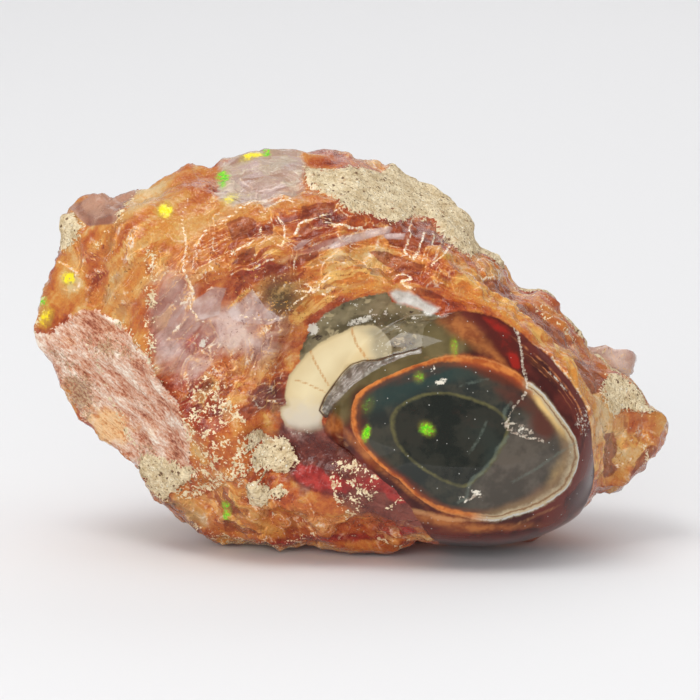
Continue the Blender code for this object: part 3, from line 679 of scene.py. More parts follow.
def to_world(points):
    cosine, sine = math.cos(FACE_LEAN), math.sin(FACE_LEAN)
    away = points[:, 1] * sine - points[:, 2] * cosine
    placed = np.stack((points[:, 0], away, height_above_floor(points) - FLOOR_CUT), axis=1)
    return MM * (placed - np.array((*BOX_MIDDLE, 0.0)))


# Fields on the surface

def on_face(points):
    """Where each point is seen on the broad face, in pixels."""
    scale = SIGHT_DISTANCE / (SIGHT_DISTANCE - points[:, 2])
    u = SIGHT_POINT[0] + (points[:, 0] - SIGHT_POINT[0]) * scale
    w = SIGHT_POINT[1] + (points[:, 1] - SIGHT_POINT[1]) * scale
    return np.stack((FACE_ZERO[0] + u * PIXELS_A_MM, FACE_ZERO[1] - w * PIXELS_A_MM), axis=1)


def segment_distance(places, start, end):
    along = end - start
    share = np.clip((places - start) @ along / (along @ along), 0.0, 1.0)
    return np.linalg.norm(places - start - share[:, None] * along, axis=1)


def area_depth(places, corners):
    """How far inside a closed outline each place is, in pixels, and negative outside."""
    corners = np.array(corners, float)
    distance = np.full(len(places), 1e9)
    inside = np.zeros(len(places), bool)
    for start, end in zip(corners, np.roll(corners, -1, axis=0)):
        distance = np.minimum(distance, segment_distance(places, start, end))
        spans = (start[1] > places[:, 1]) != (end[1] > places[:, 1])
        with np.errstate(divide="ignore", invalid="ignore"):
            cross = start[0] + (places[:, 1] - start[1]) / (end[1] - start[1]) * (end[0] - start[0])
        inside ^= spans & (places[:, 0] < cross)
    return np.where(inside, distance, -distance)


def line_distance(places, lines):
    """Distance from the nearest thin line's edge, in pixels."""
    distance = np.full(len(places), HIDDEN)
    for half_width, corners in lines:
        corners = np.array(corners, float)
        for start, end in zip(corners[:-1], corners[1:]):
            distance = np.minimum(distance, segment_distance(places, start, end) - half_width)
    return distance


def along_lines(places, lines, softness):
    """1 on thin lines, falling away on both sides."""
    return np.exp(-(np.maximum(line_distance(places, lines) + 0.6, 0.0) / softness) ** 2)


def deepest(places, areas):
    """How far inside the outlines each place is, taking the one that it is deepest in, in pixels."""
    return np.maximum.reduce([area_depth(places, corners) for corners in areas])


def wash(places, washes):
    total = np.zeros(len(places))
    for x, y, along, across, turn, strength in washes:
        offset = places - np.array((x, y))
        cosine, sine = math.cos(math.radians(turn)), math.sin(math.radians(turn))
        a = (offset[:, 0] * cosine + offset[:, 1] * sine) / along
        b = (offset[:, 1] * cosine - offset[:, 0] * sine) / across
        total += strength * np.exp(-0.5 * (a * a + b * b) ** 1.3)
    return total


def contour_reach(angles, corners):
    offset = np.array(corners, float) - np.array(EYE_MIDDLE)
    turn = np.arctan2(offset[:, 1], offset[:, 0])
    order = np.argsort(turn)
    return np.interp(angles, turn[order], np.hypot(offset[:, 0], offset[:, 1])[order], period=2 * math.pi)


def eye_level(places):
    """0 at the eye's middle, 1 on its inner ring, 2 on its orange ring, and 3 at the lobe's edge."""
    offset = places - np.array(EYE_MIDDLE)
    angle = np.arctan2(offset[:, 1], offset[:, 0])
    radius = np.hypot(offset[:, 0], offset[:, 1])
    inner = contour_reach(angle, EYE_INNER)
    ring = contour_reach(angle, EYE_RING)
    edge = np.maximum(contour_reach(angle, EYE_EDGE), ring + 4.0)
    level = np.where(radius < inner, radius / inner, 1.0 + (radius - inner) / (ring - inner))
    return np.where(radius < ring, level, 2.0 + (radius - ring) / (edge - ring))


def crust_depth(places, points, front):
    """How far inside the crust each point is, in millimetres, and negative off it."""
    depth = np.full(len(places), -3.0)
    for level, corners in CRUST_AREAS.values():
        inside = area_depth(places, corners) / PIXELS_A_MM
        depth = np.maximum(depth, np.minimum(inside, level))
    for half_width, corners in CRUST_LINES:
        reach = -line_distance(places, ((0.0, corners),)) / PIXELS_A_MM
        depth = np.maximum(depth, np.minimum(reach + half_width, 0.0) - 0.04)
    depth -= 6.0 * (1.0 - smooth_step(-6.5, -5.0, points[:, 2]))
    for middle, radius, _ in CRUSTS.values():
        inside = radius - np.linalg.norm(points - np.array(middle),
                                         axis=1) + 2.2 * lattice_noise(points, 2.6, 71) - 0.6
        inside += 0.9 * lattice_noise(points, 1.2, 72)
        depth = np.maximum(depth, np.minimum(inside, 0.5) - 3.0 * front)
    return depth


def bowls(points, spacing, seed, count):
    """Shell-shaped bites with sharp ridges between them: 0 on the ridges, -1 in each middle."""
    scatter = np.random.default_rng(seed)
    low, high = points.min(axis=0) - 2.0, points.max(axis=0) + 2.0
    middles = scatter.uniform(low, high, (count, 3))
    tree = KDTree(count)
    for index, middle in enumerate(middles):
        tree.insert(middle, index)
    tree.balance()
    found = np.array([tree.find(point)[2] for point in points])
    return -np.clip(1.0 - (found / spacing) ** 2, 0.0, 1.0)


def angular_patches(flow, seed, count):
    """For each point: two random numbers of the patch that it is in, and the distance to the patch's edge."""
    scatter = np.random.default_rng(seed)
    middles = scatter.uniform(flow.min(axis=0), flow.max(axis=0), (count, 3))
    tones = scatter.uniform(-0.5, 0.5, (count, 2))
    tree = KDTree(count)
    for index, middle in enumerate(middles):
        tree.insert(middle, index)
    tree.balance()
    found = [tree.find_n(point, 2) for point in flow.tolist()]
    own, other = (np.array([pair[rank][1] for pair in found]) for rank in (0, 1))
    near, far = (np.array([pair[rank][2] for pair in found]) for rank in (0, 1))
    gap = np.linalg.norm(middles[own] - middles[other], axis=1)
    return tones[own, 0], tones[own, 1], (far ** 2 - near ** 2) / (2.0 * gap)


def fractal(points, scale, octaves=4, falloff=0.8, shift=0.0):
    return np.array([noise.fractal(place, falloff, 2.0,
                                   octaves) for place in (points * scale + shift).tolist()])


def pushed(points, scale, amount, shift=0.0):
    """The points, pushed about by up to amount on a pattern of the given scale."""
    push = np.array([noise.noise_vector(place)[:] for place in (points * scale + shift).tolist()])
    return points + amount * push


def shell_flow(points):
    """Distance from the shells' middle, length along the shells, and depth."""
    offset = points[:, :2] - np.array(SHELL_MIDDLE)
    turn = (np.arctan2(SHELL_SQUASH * offset[:, 1], offset[:, 0]) + math.pi / 3.0) % (2.0 * math.pi)
    return np.stack((shell_radius(points), turn * 13.0, points[:, 2]), axis=1)


def net_field(points):
    return fractal(pushed(points, 0.3, 1.1, 4.0), 0.36, 2)


def shell_field(points):
    return fractal(pushed(shell_flow(points), 0.4, 0.7, 9.0) * FLOW_STRETCH, 0.62, 2, shift=20.0)


def small_field(points):
    return fractal(pushed(points, 0.7, 0.4, 14.0), 0.7, 2, shift=40.0)


def thread(points, normals, field):
    """Signed distance along the surface from where a field passes through zero."""
    value = field(points)
    slope = np.stack([(field(points + 0.05 * axis) - value) / 0.05 for axis in np.eye(3)], axis=1)
    slope -= (slope * normals).sum(axis=1, keepdims=True) * normals
    return np.clip(value / np.maximum(np.linalg.norm(slope, axis=1), 1e-3), -3.0, 3.0)


def ledge(distance, height, run):
    return height * np.tanh(distance / 0.14) * np.exp(-np.abs(distance) / run)


def vertex_normals(mesh):
    flat = np.empty(len(mesh.vertices) * 3)
    mesh.vertex_normals.foreach_get("vector", flat)
    return flat.reshape(-1, 3)


def set_vertices(mesh, places):
    mesh.vertices.foreach_set("co", np.ascontiguousarray(places, dtype=np.float32).ravel())
    mesh.update()


def add_number(mesh, name, values):
    layer = mesh.attributes.new(name, "FLOAT", "POINT")
    layer.data.foreach_set("value", np.ascontiguousarray(values, dtype=np.float32))


def add_vector(mesh, name, values):
    layer = mesh.attributes.new(name, "FLOAT_VECTOR", "POINT")
    layer.data.foreach_set("vector", np.ascontiguousarray(values, dtype=np.float32).ravel())


def box_grid():
    """The corners, from -1 to 1, and the four-sided faces of a box cut into a closed grid."""
    cells = np.array(GRID_CELLS)
    counts = cells + 1
    faces = []
    for axis in range(3):
        a, b = (axis + 1) % 3, (axis + 2) % 3
        i, j = np.meshgrid(np.arange(cells[a]), np.arange(cells[b]), indexing="ij")
        for side in (0, 1):
            corners = []
            for di, dj in ((0, 0), (1, 0), (1, 1), (0, 1)):
                place = [None, None, None]
                place[axis] = np.full(i.shape, side * cells[axis])
                place[a], place[b] = i + di, j + dj
                corners.append((place[0] * counts[1] + place[1]) * counts[2] + place[2])
            if side == 0:
                corners.reverse()
            faces.append(np.stack([corner.ravel() for corner in corners], axis=1))
    faces = np.concatenate(faces)
    names, index = np.unique(faces, return_inverse=True)
    steps = np.stack((names // (counts[1] * counts[2]), names // counts[2] % counts[1], names % counts[2]),
                     axis=1)
    return 2.0 * steps / cells - 1.0, index.reshape(-1, 4)


def march(directions):
    reach = np.full(len(directions), START_REACH)
    for _ in range(MARCH_STEPS):
        reach -= MARCH_SHARE * stone(CENTRE + directions * reach[:, None])
    return CENTRE + directions * reach[:, None]


def gate(points, scale, low, high, shift):
    return smooth_step(low, high, fractal(points, scale, 2, shift=shift))


def stone_object():
    corners, faces = box_grid()
    directions = corners * START_SIZE
    directions /= np.linalg.norm(directions, axis=1)[:, None]
    surface = march(directions)
    mesh = bpy.data.meshes.new("opal_stone")
    mesh.from_pydata(surface.tolist(), [], faces.tolist())
    mesh.update()
    normals = vertex_normals(mesh)

    places = on_face(surface)
    front = smooth_step(-1.2, 0.3, surface[:, 2])
    level = np.where(surface[:, 2] > 0.0, eye_level(places), 4.0)
    behind = HIDDEN * (1.0 - front)
    areas = (CREAM_AREA, OLIVE_AREA, WHITE_AREA, SILVER_AREA)
    cream, olive, white, silver = (area_depth(places, area) - behind for area in areas)
    pink = area_depth(places, PINK_FACE) - HIDDEN * smooth_step(-2.0, -4.0, surface[:, 2])
    far_behind = HIDDEN * smooth_step(-3.0, -5.0, surface[:, 2])
    brown = area_depth(places, BROWN_FACE) - far_behind
    window = area_depth(places, WINDOW_FACE) - far_behind
    crusted = crust_depth(places, surface, front)
    crusted = np.where(level < 2.9, -3.0, crusted)
    on_lobe = smooth_step(3.1, 2.95, level)
    set_in = np.maximum.reduce((on_lobe, smooth_step(-4.0, 2.0, cream), smooth_step(-4.0, 2.0, olive),
                                smooth_step(-2.0, 4.0, pink)))
    glassy = (1.0 - set_in) * (1.0 - smooth_step(-0.1, 0.2, crusted))

    # Cracks and broken edges, as distances along the surface, and how much of them shows
    net = thread(surface, normals, net_field)
    shells = thread(surface, normals, shell_field)
    small = thread(surface, normals, small_field)
    busy = (1.0 - front) * gate(surface, 0.2, -0.15, 0.3, 100.0)
    veined = np.maximum(wash(places, VEIN_WASH) * front, busy)
    glint = np.maximum(wash(places, GLINT_WASH) * front, 0.8 * busy)
    calm = np.clip(wash(places, CALM_WASH) * front, 0.0, 1.0)
    veined *= 1.0 - 0.9 * calm
    glint *= 1.0 - 0.9 * calm
    show_net = gate(surface, 0.5, -0.25, 0.25, 60.0) * smooth_step(0.1, 0.7, veined)
    show_shells = gate(surface, 0.4, -0.35, 0.15, 70.0) * smooth_step(0.1, 0.8, veined)
    show_small = gate(surface, 0.6, 0.15, 0.5, 80.0) * smooth_step(0.05, 0.6, np.maximum(veined, glint))
    show_patches = gate(surface, 0.45, -0.3, 0.2, 90.0) * smooth_step(0.05, 0.6, np.maximum(veined, glint))

    flow = pushed(shell_flow(surface), 0.8, 0.6, 5.0) * FLOW_STRETCH
    patch_a, patch_b, patch_edge = angular_patches(flow, *PATCHES)

    facet_sets = (DARK_FACETS, LIGHT_FACETS, MILKY_SHEEN_FACETS)
    dark_facet, light_facet, milky_sheen_facet = (deepest(places, facets) - behind for facets in facet_sets)

    # Fine relief, in millimetres along the surface's outward direction
    relief = (1.0 - front) * glassy * 0.5 * (0.5 + bowls(surface, *WIDE_BOWLS))
    shell_bites = bowls(surface, *SHELL_BOWLS)
    relief += glassy * (0.12 + 0.26 * shell_bites + 0.10 * bowls(surface, *SMALL_BOWLS))
    relief += glassy * (0.05 * lattice_noise(surface, 0.9, 41) + 0.03 * lattice_noise(surface, 0.45, 42))
    relief += glassy * 0.12 * (smooth_step(-2.0, 1.0, light_facet) - smooth_step(-2.0, 1.0, dark_facet))
    relief += glassy * 0.12 * patch_b * smooth_step(0.0, 0.25, patch_edge)
    relief += glassy * (ledge(net, 0.13, 1.0) + ledge(shells, 0.11, 0.8) + 0.6 * ledge(small, 0.07, 0.5))
    ragged = crusted + layered_noise(surface, RAGGED_EDGE)
    on_crust = smooth_step(-0.02, 0.14, ragged)
    grain = layered_noise(surface, CRUST_GRAIN)
    relief += on_crust * (0.10 + 0.08 * smooth_step(0.0, 0.5, crusted) + grain)
    across = 0.72 * places[:, 1] - 0.69 * places[:, 0]
    along = 0.72 * places[:, 0] + 0.69 * places[:, 1]
    striae_at = np.stack((along, 4.0 * across, surface[:, 2] * PIXELS_A_MM), axis=1) / PIXELS_A_MM
    on_pink = smooth_step(-2.0, 6.0, pink)
    striae = fractal(pushed(striae_at, 0.3, 1.2), 0.42, 4)
    relief += on_pink * (0.16 * striae + 0.05 * lattice_noise(surface, 0.4, 63))
    relief -= 0.10 * along_lines(places, EYE_CRACKS[:4], 1.6) * (level < 3.0)
    relief -= 0.07 * along_lines(places, CREAM_CRACKS, 1.4)
    relief += front * 0.10 * along_lines(places, PALE_LINES[1:], 1.6) * glassy
    relief += 0.22 * smooth_step(-1.0, 1.5, silver)
    relief *= smooth_step(0.0, 0.5, height_above_floor(surface) - FLOOR_CUT - 0.02)
    relief += wash(places, OUTLINE_TRIMS)
    low_right = smooth_step(2.5, 4.5, surface[:, 0]) * smooth_step(-1.5, 0.5, surface[:, 2])
    low_lobe = np.maximum(on_lobe, low_right)
    relief -= 0.55 * low_lobe * smooth_step(3.0, 0.3, height_above_floor(surface) - FLOOR_CUT)
    set_vertices(mesh, to_world(surface + normals * relief[:, None]))
    mesh.shade_smooth()

    bent = pushed(surface, 0.8, 0.9, 2.0)
    clouds = fractal(bent, 0.35, 4)
    streaks = fractal(flow, 0.9, 4, 0.6)
    tone = 0.485 + wash(places, TONE_WASH) * front + (0.11 * clouds + 0.14 * streaks) * (1.0 - 0.6 * calm)
    # Painted light and shade: each crack's ledge is lighter on one side and darker on the other
    ledge_light_and_shade = 0.07 * np.tanh(net / 0.5) + 0.07 * np.tanh(shells / 0.35) + 0.04 * np.tanh(small / 0.3)
    tone += ledge_light_and_shade * (1.0 - calm)
    tone -= 0.10 * shell_bites * glassy
    # The spur's top: milky haze with a painted sheen of the light above
    spur_haze_and_sheen = smooth_step(15.2, 17.0, surface[:, 0]) * smooth_step(-2.0, -3.0, surface[:, 2])
    spur_haze_and_sheen *= smooth_step(10.8, 11.8, surface[:, 1])
    behind_dark = (1.0 - front) * gate(surface, 0.16, 0.15, 0.6, 110.0)
    behind_haze = (1.0 - front) * gate(surface, 0.15, 0.1, 0.6, 120.0)
    mottle = smooth_step(-0.5, 0.3, fractal(bent, 0.6, 3, shift=30.0))
    numbers = {
        "tone": tone, "net": net, "shells": shells, "small": small, "show_net": show_net,
        "show_shells": show_shells, "show_small": show_small, "show_patches": show_patches,
        "patch_a": patch_a, "patch_b": patch_b, "patch_edge": patch_edge, "glint": glint,
        "clouds": 0.5 + 0.5 * clouds, "streaks": 0.5 + 0.5 * streaks, "front": front, "crust": crusted,
        "eye": level, "broken": glassy, "striae": striae,
        "red": wash(places, RED_WASH) * front * (0.6 + 0.4 * mottle),
        "olive_glass": wash(places, OLIVE_WASH) * front * smooth_step(-0.6, 0.2, clouds),
        "maroon": (wash(places, MAROON_WASH) + 0.3 * clouds) * front + 0.7 * behind_dark,
        # Milky lilac haze, partly a painted reflection of the lights on glassy faces
        "haze": (wash(places, HAZE_AND_SHEEN_WASH) + 0.35 * streaks) * front + 0.8 * behind_haze + 0.9 * spur_haze_and_sheen,
    }
    depths = {
        "dark_facet": dark_facet, "light_facet": light_facet, "milky_sheen_facet": milky_sheen_facet, "pink": pink,
        "brown": brown, "window": window, "cream": cream, "cream_low": places[:, 1] - CREAM_LOW,
        "olive": olive, "white": white, "silver": silver,
    }
    numbers |= {name: depth / PIXELS_A_MM for name, depth in depths.items()}
    for name, lines in (("cream_crack", CREAM_CRACKS), ("eye_crack", EYE_CRACKS), ("veil", EYE_VEILS)):
        numbers[name] = line_distance(places, lines)
    for name, lines in (("white_crack", WHITE_CRACKS), ("pale_line", PALE_LINES)):
        numbers[name] = np.where(front > 0.5, line_distance(places, lines), HIDDEN)
    for name, spots in SPOTS.items():
        numbers[name] = wash(places, spots) * front
    for name, values in numbers.items():
        add_number(mesh, name, values)
    add_vector(mesh, "face_mm", surface)
    add_vector(mesh, "flow_mm", flow)
    add_vector(mesh, "striae_mm", striae_at)
    stone_piece = bpy.data.objects.new("opal_stone", mesh)
    bpy.context.scene.collection.objects.link(stone_piece)
    return stone_piece


# Materials

def tint(red, green, blue):
    """A colour given as it looks on a screen, from 0 to 255, in the linear numbers that shaders take."""
    parts = []
    for value in (red, green, blue):
        share = value / 255.0
        parts.append(share / 12.92 if share <= 0.04045 else ((share + 0.055) / 1.055) ** 2.4)
    return (*parts, 1.0)


class Graph:
    """Short names for the shader nodes that the materials use.

    A value is a number, a colour as it looks on a screen, a socket, or the name of a number kept on the mesh.
    """

    def __init__(self, name):
        self.material = bpy.data.materials.new(name)
        self.material.use_nodes = True
        self.tree = self.material.node_tree
        self.shader = self.tree.nodes["Principled BSDF"]
        self.output = self.tree.nodes["Material Output"]

    def put(self, value, socket):
        if isinstance(value, str):
            value = self.attribute(value)
        if isinstance(value, bpy.types.NodeSocket):
            self.tree.links.new(value, socket)
        else:
            socket.default_value = tint(*value) if socket.type == "RGBA" else value

    def node(self, kind, inputs, output=0, **settings):
        node = self.tree.nodes.new("ShaderNode" + kind)
        for name, value in settings.items():
            setattr(node, name, value)
        for name, value in inputs.items():
            self.put(value, node.inputs[name])
        return node.outputs[output]

    def attribute(self, name, output="Fac"):
        return self.node("Attribute", {}, output, attribute_name=name)

    def scaled(self, vector, by):
        return self.node("VectorMath", {0: vector, 1: by}, operation="MULTIPLY")

    def noise(self, vector, scale, detail, roughness, output="Fac"):
        inputs = {"Vector": vector, "Scale": scale, "Detail": detail, "Roughness": roughness}
        return self.node("TexNoise", inputs, output)

    def cells(self, vector, scale):
        """Distance from the nearest cell's middle, and that cell's random colour."""
        distance = self.node("TexVoronoi", {"Vector": vector, "Scale": scale}, "Distance")
        return distance, distance.node.outputs["Color"]

    def centred(self, colour, index):
        """One channel of a noise colour, as a number on both sides of 0."""
        return self.math("SUBTRACT", self.node("SeparateColor", {0: colour}, index), 0.5)

    def math(self, operation, *values, clamp=False):
        return self.node("Math", dict(enumerate(values)), operation=operation, use_clamp=clamp)

    def add(self, a, b):
        return self.math("ADD", a, b)

    def plus(self, value, *parts):
        """A value with shares of other values added, given as (other, share) pairs."""
        for part, share in parts:
            value = self.math("MULTIPLY_ADD", part, share, value)
        return value

    def times(self, *values):
        return functools.reduce(functools.partial(self.math, "MULTIPLY"), values)

    def most(self, *values):
        return functools.reduce(functools.partial(self.math, "MAXIMUM"), values)

    def near(self, value, centre, half_width):
        """1 where value is at centre, falling to 0 at half_width from it."""
        distance = self.math("ABSOLUTE", self.math("SUBTRACT", value, centre))
        return self.step(distance, half_width, 0.0)

    def step(self, value, low, high):
        """0 at low and 1 at high, with a soft run between them."""
        ends = {"From Min": min(low, high), "From Max": max(low, high)}
        ends |= {"To Min": float(low > high), "To Max": float(low < high)}
        return self.node("MapRange", {"Value": value, **ends}, "Result", interpolation_type="SMOOTHSTEP")

    def blend(self, share, a, b):
        """Mixes two numbers."""
        return self.node("Mix", {0: share, 2: a, 3: b}, data_type="FLOAT", clamp_factor=True)

    def mix(self, share, a, b):
        """Mixes two colours."""
        return self.node("Mix", {0: share, 6: a, 7: b}, 2, data_type="RGBA", clamp_factor=True)

    def fade(self, value, low, high, a, b):
        """Colour a where value is low, and b where it is high."""
        return self.mix(self.step(value, low, high), a, b)

    def over(self, base, layer, value, low, high, strength=1.0):
        """A layer laid over a colour, from none of it where value is low to its strength where it is high."""
        share = self.step(value, low, high)
        return self.mix(share if strength == 1.0 else self.times(share, strength), base, layer)

    def ramp(self, value, stops):
        colours = self.node("ValToRGB", {0: value})
        elements = colours.node.color_ramp.elements
        while len(elements) < len(stops):
            elements.new(0.5)
        for element, (position, colour) in zip(elements, stops):
            element.position = position
            element.color = tint(*colour)
        return colours

    def bump(self, height, strength, distance):
        return self.node("Bump", {"Strength": strength, "Distance": distance, "Height": height})


def opal_look():
    g = Graph("honey_opal_glass")
    at = g.attribute("face_mm", "Vector")
    flow = g.attribute("flow_mm", "Vector")
    striae_at = g.attribute("striae_mm", "Vector")
    mid = g.noise(at, 1.3, 2.0, 0.65, "Color")
    mid_a, mid_b, mid_c = (g.centred(mid, index) for index in range(3))
    fine = g.noise(at, 5.0, 1.0, 0.8, "Color")
    fine_a, fine_b, fine_c = (g.centred(fine, index) for index in range(3))
    fibres = g.math("SUBTRACT", g.noise(flow, 2.2, 2.0, 0.7), 0.5)
    patch_a, patch_b = g.attribute("patch_a"), g.attribute("patch_b")
    clouds = g.attribute("clouds")
    streaks = g.attribute("streaks")

    # Honey glass: clouds, streaks that follow the shells, and angular patches of broken glass
    tone = g.attribute("tone")
    for part, share in ((mid_a, 0.34), (fibres, 0.5), (patch_a, 0.30), (fine_a, 0.30)):
        tone = g.plus(tone, (part, share))
    colour = g.ramp(tone, (
        (0.0, (96, 34, 16)), (0.20, (150, 56, 26)), (0.38, (192, 88, 38)), (0.54, (214, 120, 52)),
        (0.70, (228, 150, 68)), (0.86, (238, 182, 104)), (1.0, (244, 208, 150)),
    ))
    # Bright amber on the glow spots: partly the glass's own gold, partly painted glow and highlights
    amber_glow = g.step(g.plus("glow", (mid_b, 0.8), (fibres, 1.6)), 0.25, 1.0)
    colour = g.mix(g.times(amber_glow, 0.85), colour, g.fade(fine_b, 0.02, 0.2, (236, 156, 62), (252, 208, 116)))
    red = g.plus("red", (mid_b, 0.5))
    colour = g.over(colour, g.fade(fibres, -0.2, 0.2, (134, 38, 24), (186, 66, 40)), red, 0.15, 0.7)
    maroon = g.step(g.plus("maroon", (mid_b, 0.5)), 0.25, 0.75)
    colour = g.mix(maroon, colour, g.fade(g.add(clouds, fibres), 0.2, 0.8, (98, 44, 36), (148, 80, 66)))
    colour = g.over(colour, g.fade(mid_a, -0.2, 0.2, (150, 38, 34), (200, 66, 58)), red, 0.55, 0.95)
    colour = g.mix("olive_glass", colour, g.fade(g.add(streaks, fine_a), 0.3, 0.7, (98, 76, 46),
                                                 (164, 130, 78)))

    # Milky lilac haze, partly the glass's own haze and partly a painted reflection of the lights on glassy
    # faces
    haze = g.step(g.plus("haze", (fibres, 0.6)), 0.12, 0.95)
    colour = g.mix(g.times(haze, 0.86), colour, g.fade(g.add(clouds, mid_a), 0.2, 0.8, (184, 146, 132),
                                                       (218, 194, 184)))

    # Cracks and broken edges that catch the light
    wander = g.plus(g.times(fine_b, 0.07), (mid_c, 0.26))
    net = g.add("net", wander)
    shells = g.add("shells", wander)
    small = g.plus("small", (fine_b, 0.08))
    lines = g.times(g.most(g.near(net, 0.0, 0.095), g.times(g.near(net, 0.30, 0.05), 0.6)), "show_net")
    lines = g.most(lines, g.times(g.near(shells, 0.0, 0.09), "show_shells"))
    lines = g.most(lines, g.times(g.near(shells, 0.28, 0.05), "show_shells", 0.8))
    lines = g.most(lines, g.times(g.near(small, 0.0, 0.05), "show_small", 0.8))
    seams = g.times(g.step(g.plus("patch_edge", (fine_b, 0.06)), 0.065, 0.0), "show_patches")
    lines = g.most(lines, seams)
    pale = g.step(g.plus("pale_line", (fine_b, 2.0), (mid_c, 4.5)), 1.0, -0.5)
    lines = g.most(lines, g.times(pale, g.step(mid_b, -0.16, 0.0)))
    line_colour = g.fade(g.add(mid_b, fine_c), -0.05, 0.2, (236, 178, 102), (240, 224, 200))
    faint = g.blend(g.step(g.add(mid_b, mid_a), -0.16, 0.10), 0.4, 1.0)
    colour = g.mix(g.times(lines, faint, g.step(fine_c, -0.22, 0.05)), colour, line_colour)

    facets = g.plus(patch_b, (mid_c, 0.3), (fine_a, 0.12))
    shown = g.times("show_patches", g.math("SUBTRACT", 1.0, "olive_glass", clamp=True))
    colour = g.mix(g.times(g.step(facets, -0.28, -0.33), shown, 0.5), colour, (140, 52, 26))
    colour = g.mix(g.times(g.step(facets, 0.33, 0.38), shown, 0.4), colour, (250, 196, 116))

    edge = g.plus(g.times(mid_a, 0.12), (fine_a, 0.10))
    colour = g.over(colour, g.fade(g.add(fibres, mid_b), -0.2, 0.25, (130, 48, 24), (182, 92, 52)),
                    g.add("dark_facet", edge), -0.04, 0.05, 0.82)
    colour = g.over(colour, g.fade(g.plus(fibres, (mid_b, 0.5)), -0.12, 0.14, (214, 122, 44),
                                   (250, 194, 104)), g.add("light_facet", edge), -0.04, 0.05, 0.82)
    # Milky facets: pale lilac, partly a painted reflection of the lights
    colour = g.over(colour, g.fade(g.add(clouds, mid_b), 0.25, 0.75, (190, 156, 146), (222, 202, 196)),
                    g.add("milky_sheen_facet", edge), -0.05, 0.08, 0.7)
    white_crack = g.step(g.plus("white_crack", (mid_b, 1.6), (fine_b, 3.0)), 1.2, 0.1)
    colour = g.mix(g.times(white_crack, 0.9), colour,
                   g.fade(fine_c, -0.1, 0.1, (238, 204, 150), (248, 238, 220)))

    # Glints on broken glass, and dark flecks in its depths
    sparks = g.times(g.step(g.plus(fine_b, (mid_b, 0.5)), 0.17, 0.25), g.step("glint", 0.1, 0.9))
    colour = g.mix(g.times(sparks, 0.85), colour, g.fade(patch_b, -0.1, 0.1, (240, 176, 84),
                                                         (246, 226, 190)))
    flecks = g.times(g.step(g.plus(fine_c, (mid_a, 0.6)), -0.15, -0.27), g.step("glint", 0.0, 0.6))
    colour = g.mix(g.times(flecks, 0.6), colour, (100, 40, 24))

    # The glossy window at the top, its pale lilac partly a painted reflection of the light above, and the
    # brown face behind the left corner
    window = g.step(g.plus("window", (mid_a, 1.0)), -0.2, 0.3)
    slant = g.noise(g.scaled(at, (0.3, 1.8, 1.2)), 0.8, 2.0, 0.6)
    window_sheen_colour = g.fade(g.add(clouds, mid_b), 0.3, 0.7, (216, 200, 176), (214, 192, 186))
    window_sheen_colour = g.over(window_sheen_colour, (176, 142, 126), slant, 0.40, 0.34)
    window_sheen_colour = g.mix(g.near(slant, 0.5, 0.018), window_sheen_colour, (240, 228, 206))
    window_sheen_colour = g.mix(g.near(slant, 0.58, 0.012), window_sheen_colour, (236, 216, 176))
    window_sheen_colour = g.over(window_sheen_colour, (186, 156, 140), g.plus(patch_a, (fine_a, 0.15)), 0.12, 0.18, 0.6)
    window_sheen_colour = g.over(window_sheen_colour, (238, 224, 200), g.plus(patch_a, (fine_a, 0.15)), -0.28, -0.34,
                           0.7)
    colour = g.mix(g.times(window, 0.85), colour, window_sheen_colour)
    brown = g.step("brown", -0.05, 0.12)
    colour = g.mix(g.times(brown, 0.92), colour, g.fade(clouds, 0.35, 0.65, (156, 102, 86),
                                                        (200, 150, 126)))

    # The rough striated face
    striae = g.plus(g.times("striae", 0.30), (g.math("SUBTRACT", g.noise(striae_at, 1.8, 3.0, 0.75), 0.5),
                                              1.1))
    striae = g.plus(g.add(striae, 0.5), (fine_a, 0.5))
    pink_colour = g.ramp(striae, (
        (0.12, (132, 66, 44)), (0.28, (182, 114, 84)), (0.42, (208, 158, 130)), (0.56, (220, 184, 162)),
        (0.68, (234, 212, 192)), (0.84, (248, 238, 222)),
    ))
    pink_colour = g.over(pink_colour, g.fade(striae, 0.4, 0.6, (206, 132, 66), (232, 184, 124)),
                         g.plus("pink_honey", (mid_b, 1.2)), 0.3, 0.9, 0.8)
    rough_dark = g.step(g.plus("pink_dark", (fine_b, 1.6), (mid_c, 1.2)), 0.45, 0.75)
    pink_colour = g.mix(g.times(rough_dark, 0.75), pink_colour,
                        g.fade(fine_c, -0.1, 0.1, (138, 92, 64), (184, 158, 122)))
    pink = g.step(g.plus("pink", (fine_a, 0.5), (mid_a, 0.9)), -0.05, 0.12)
    colour = g.mix(g.times(pink, 0.94), colour, pink_colour)

    # Host-rock crust with ragged edges and loose grains
    crust_depth_here = g.plus("crust", (fine_a, 0.7), (mid_a, 0.75))
    crusted = g.step(crust_depth_here, -0.02, 0.05)
    crust_colour = g.fade(g.plus(mid_c, (fine_a, 0.6)), -0.22, 0.22, (200, 176, 136), (234, 216, 180))
    crust_colour = g.over(crust_colour, (244, 236, 216), g.plus(fine_c, (mid_b, 0.5)), 0.16, 0.26)
    crust_colour = g.over(crust_colour, (142, 114, 82), g.plus(fine_b, (mid_b, 0.4)), -0.13, -0.22)
    spot, spot_colour = g.cells(at, 2.1)
    spot_kind = g.centred(spot_colour, 0)
    pits = g.times(g.step(g.plus(spot, (fine_a, 0.35)), 0.26, 0.16), g.step(spot_kind, -0.12, -0.07))
    crust_colour = g.mix(g.times(pits, 0.9), crust_colour, (104, 70, 46))
    stain = g.step(g.plus(mid_a, (fibres, 0.8)), 0.16, 0.30)
    crust_colour = g.mix(g.times(stain, 0.5), crust_colour, (176, 120, 78))
    colour = g.mix(crusted, colour, crust_colour)

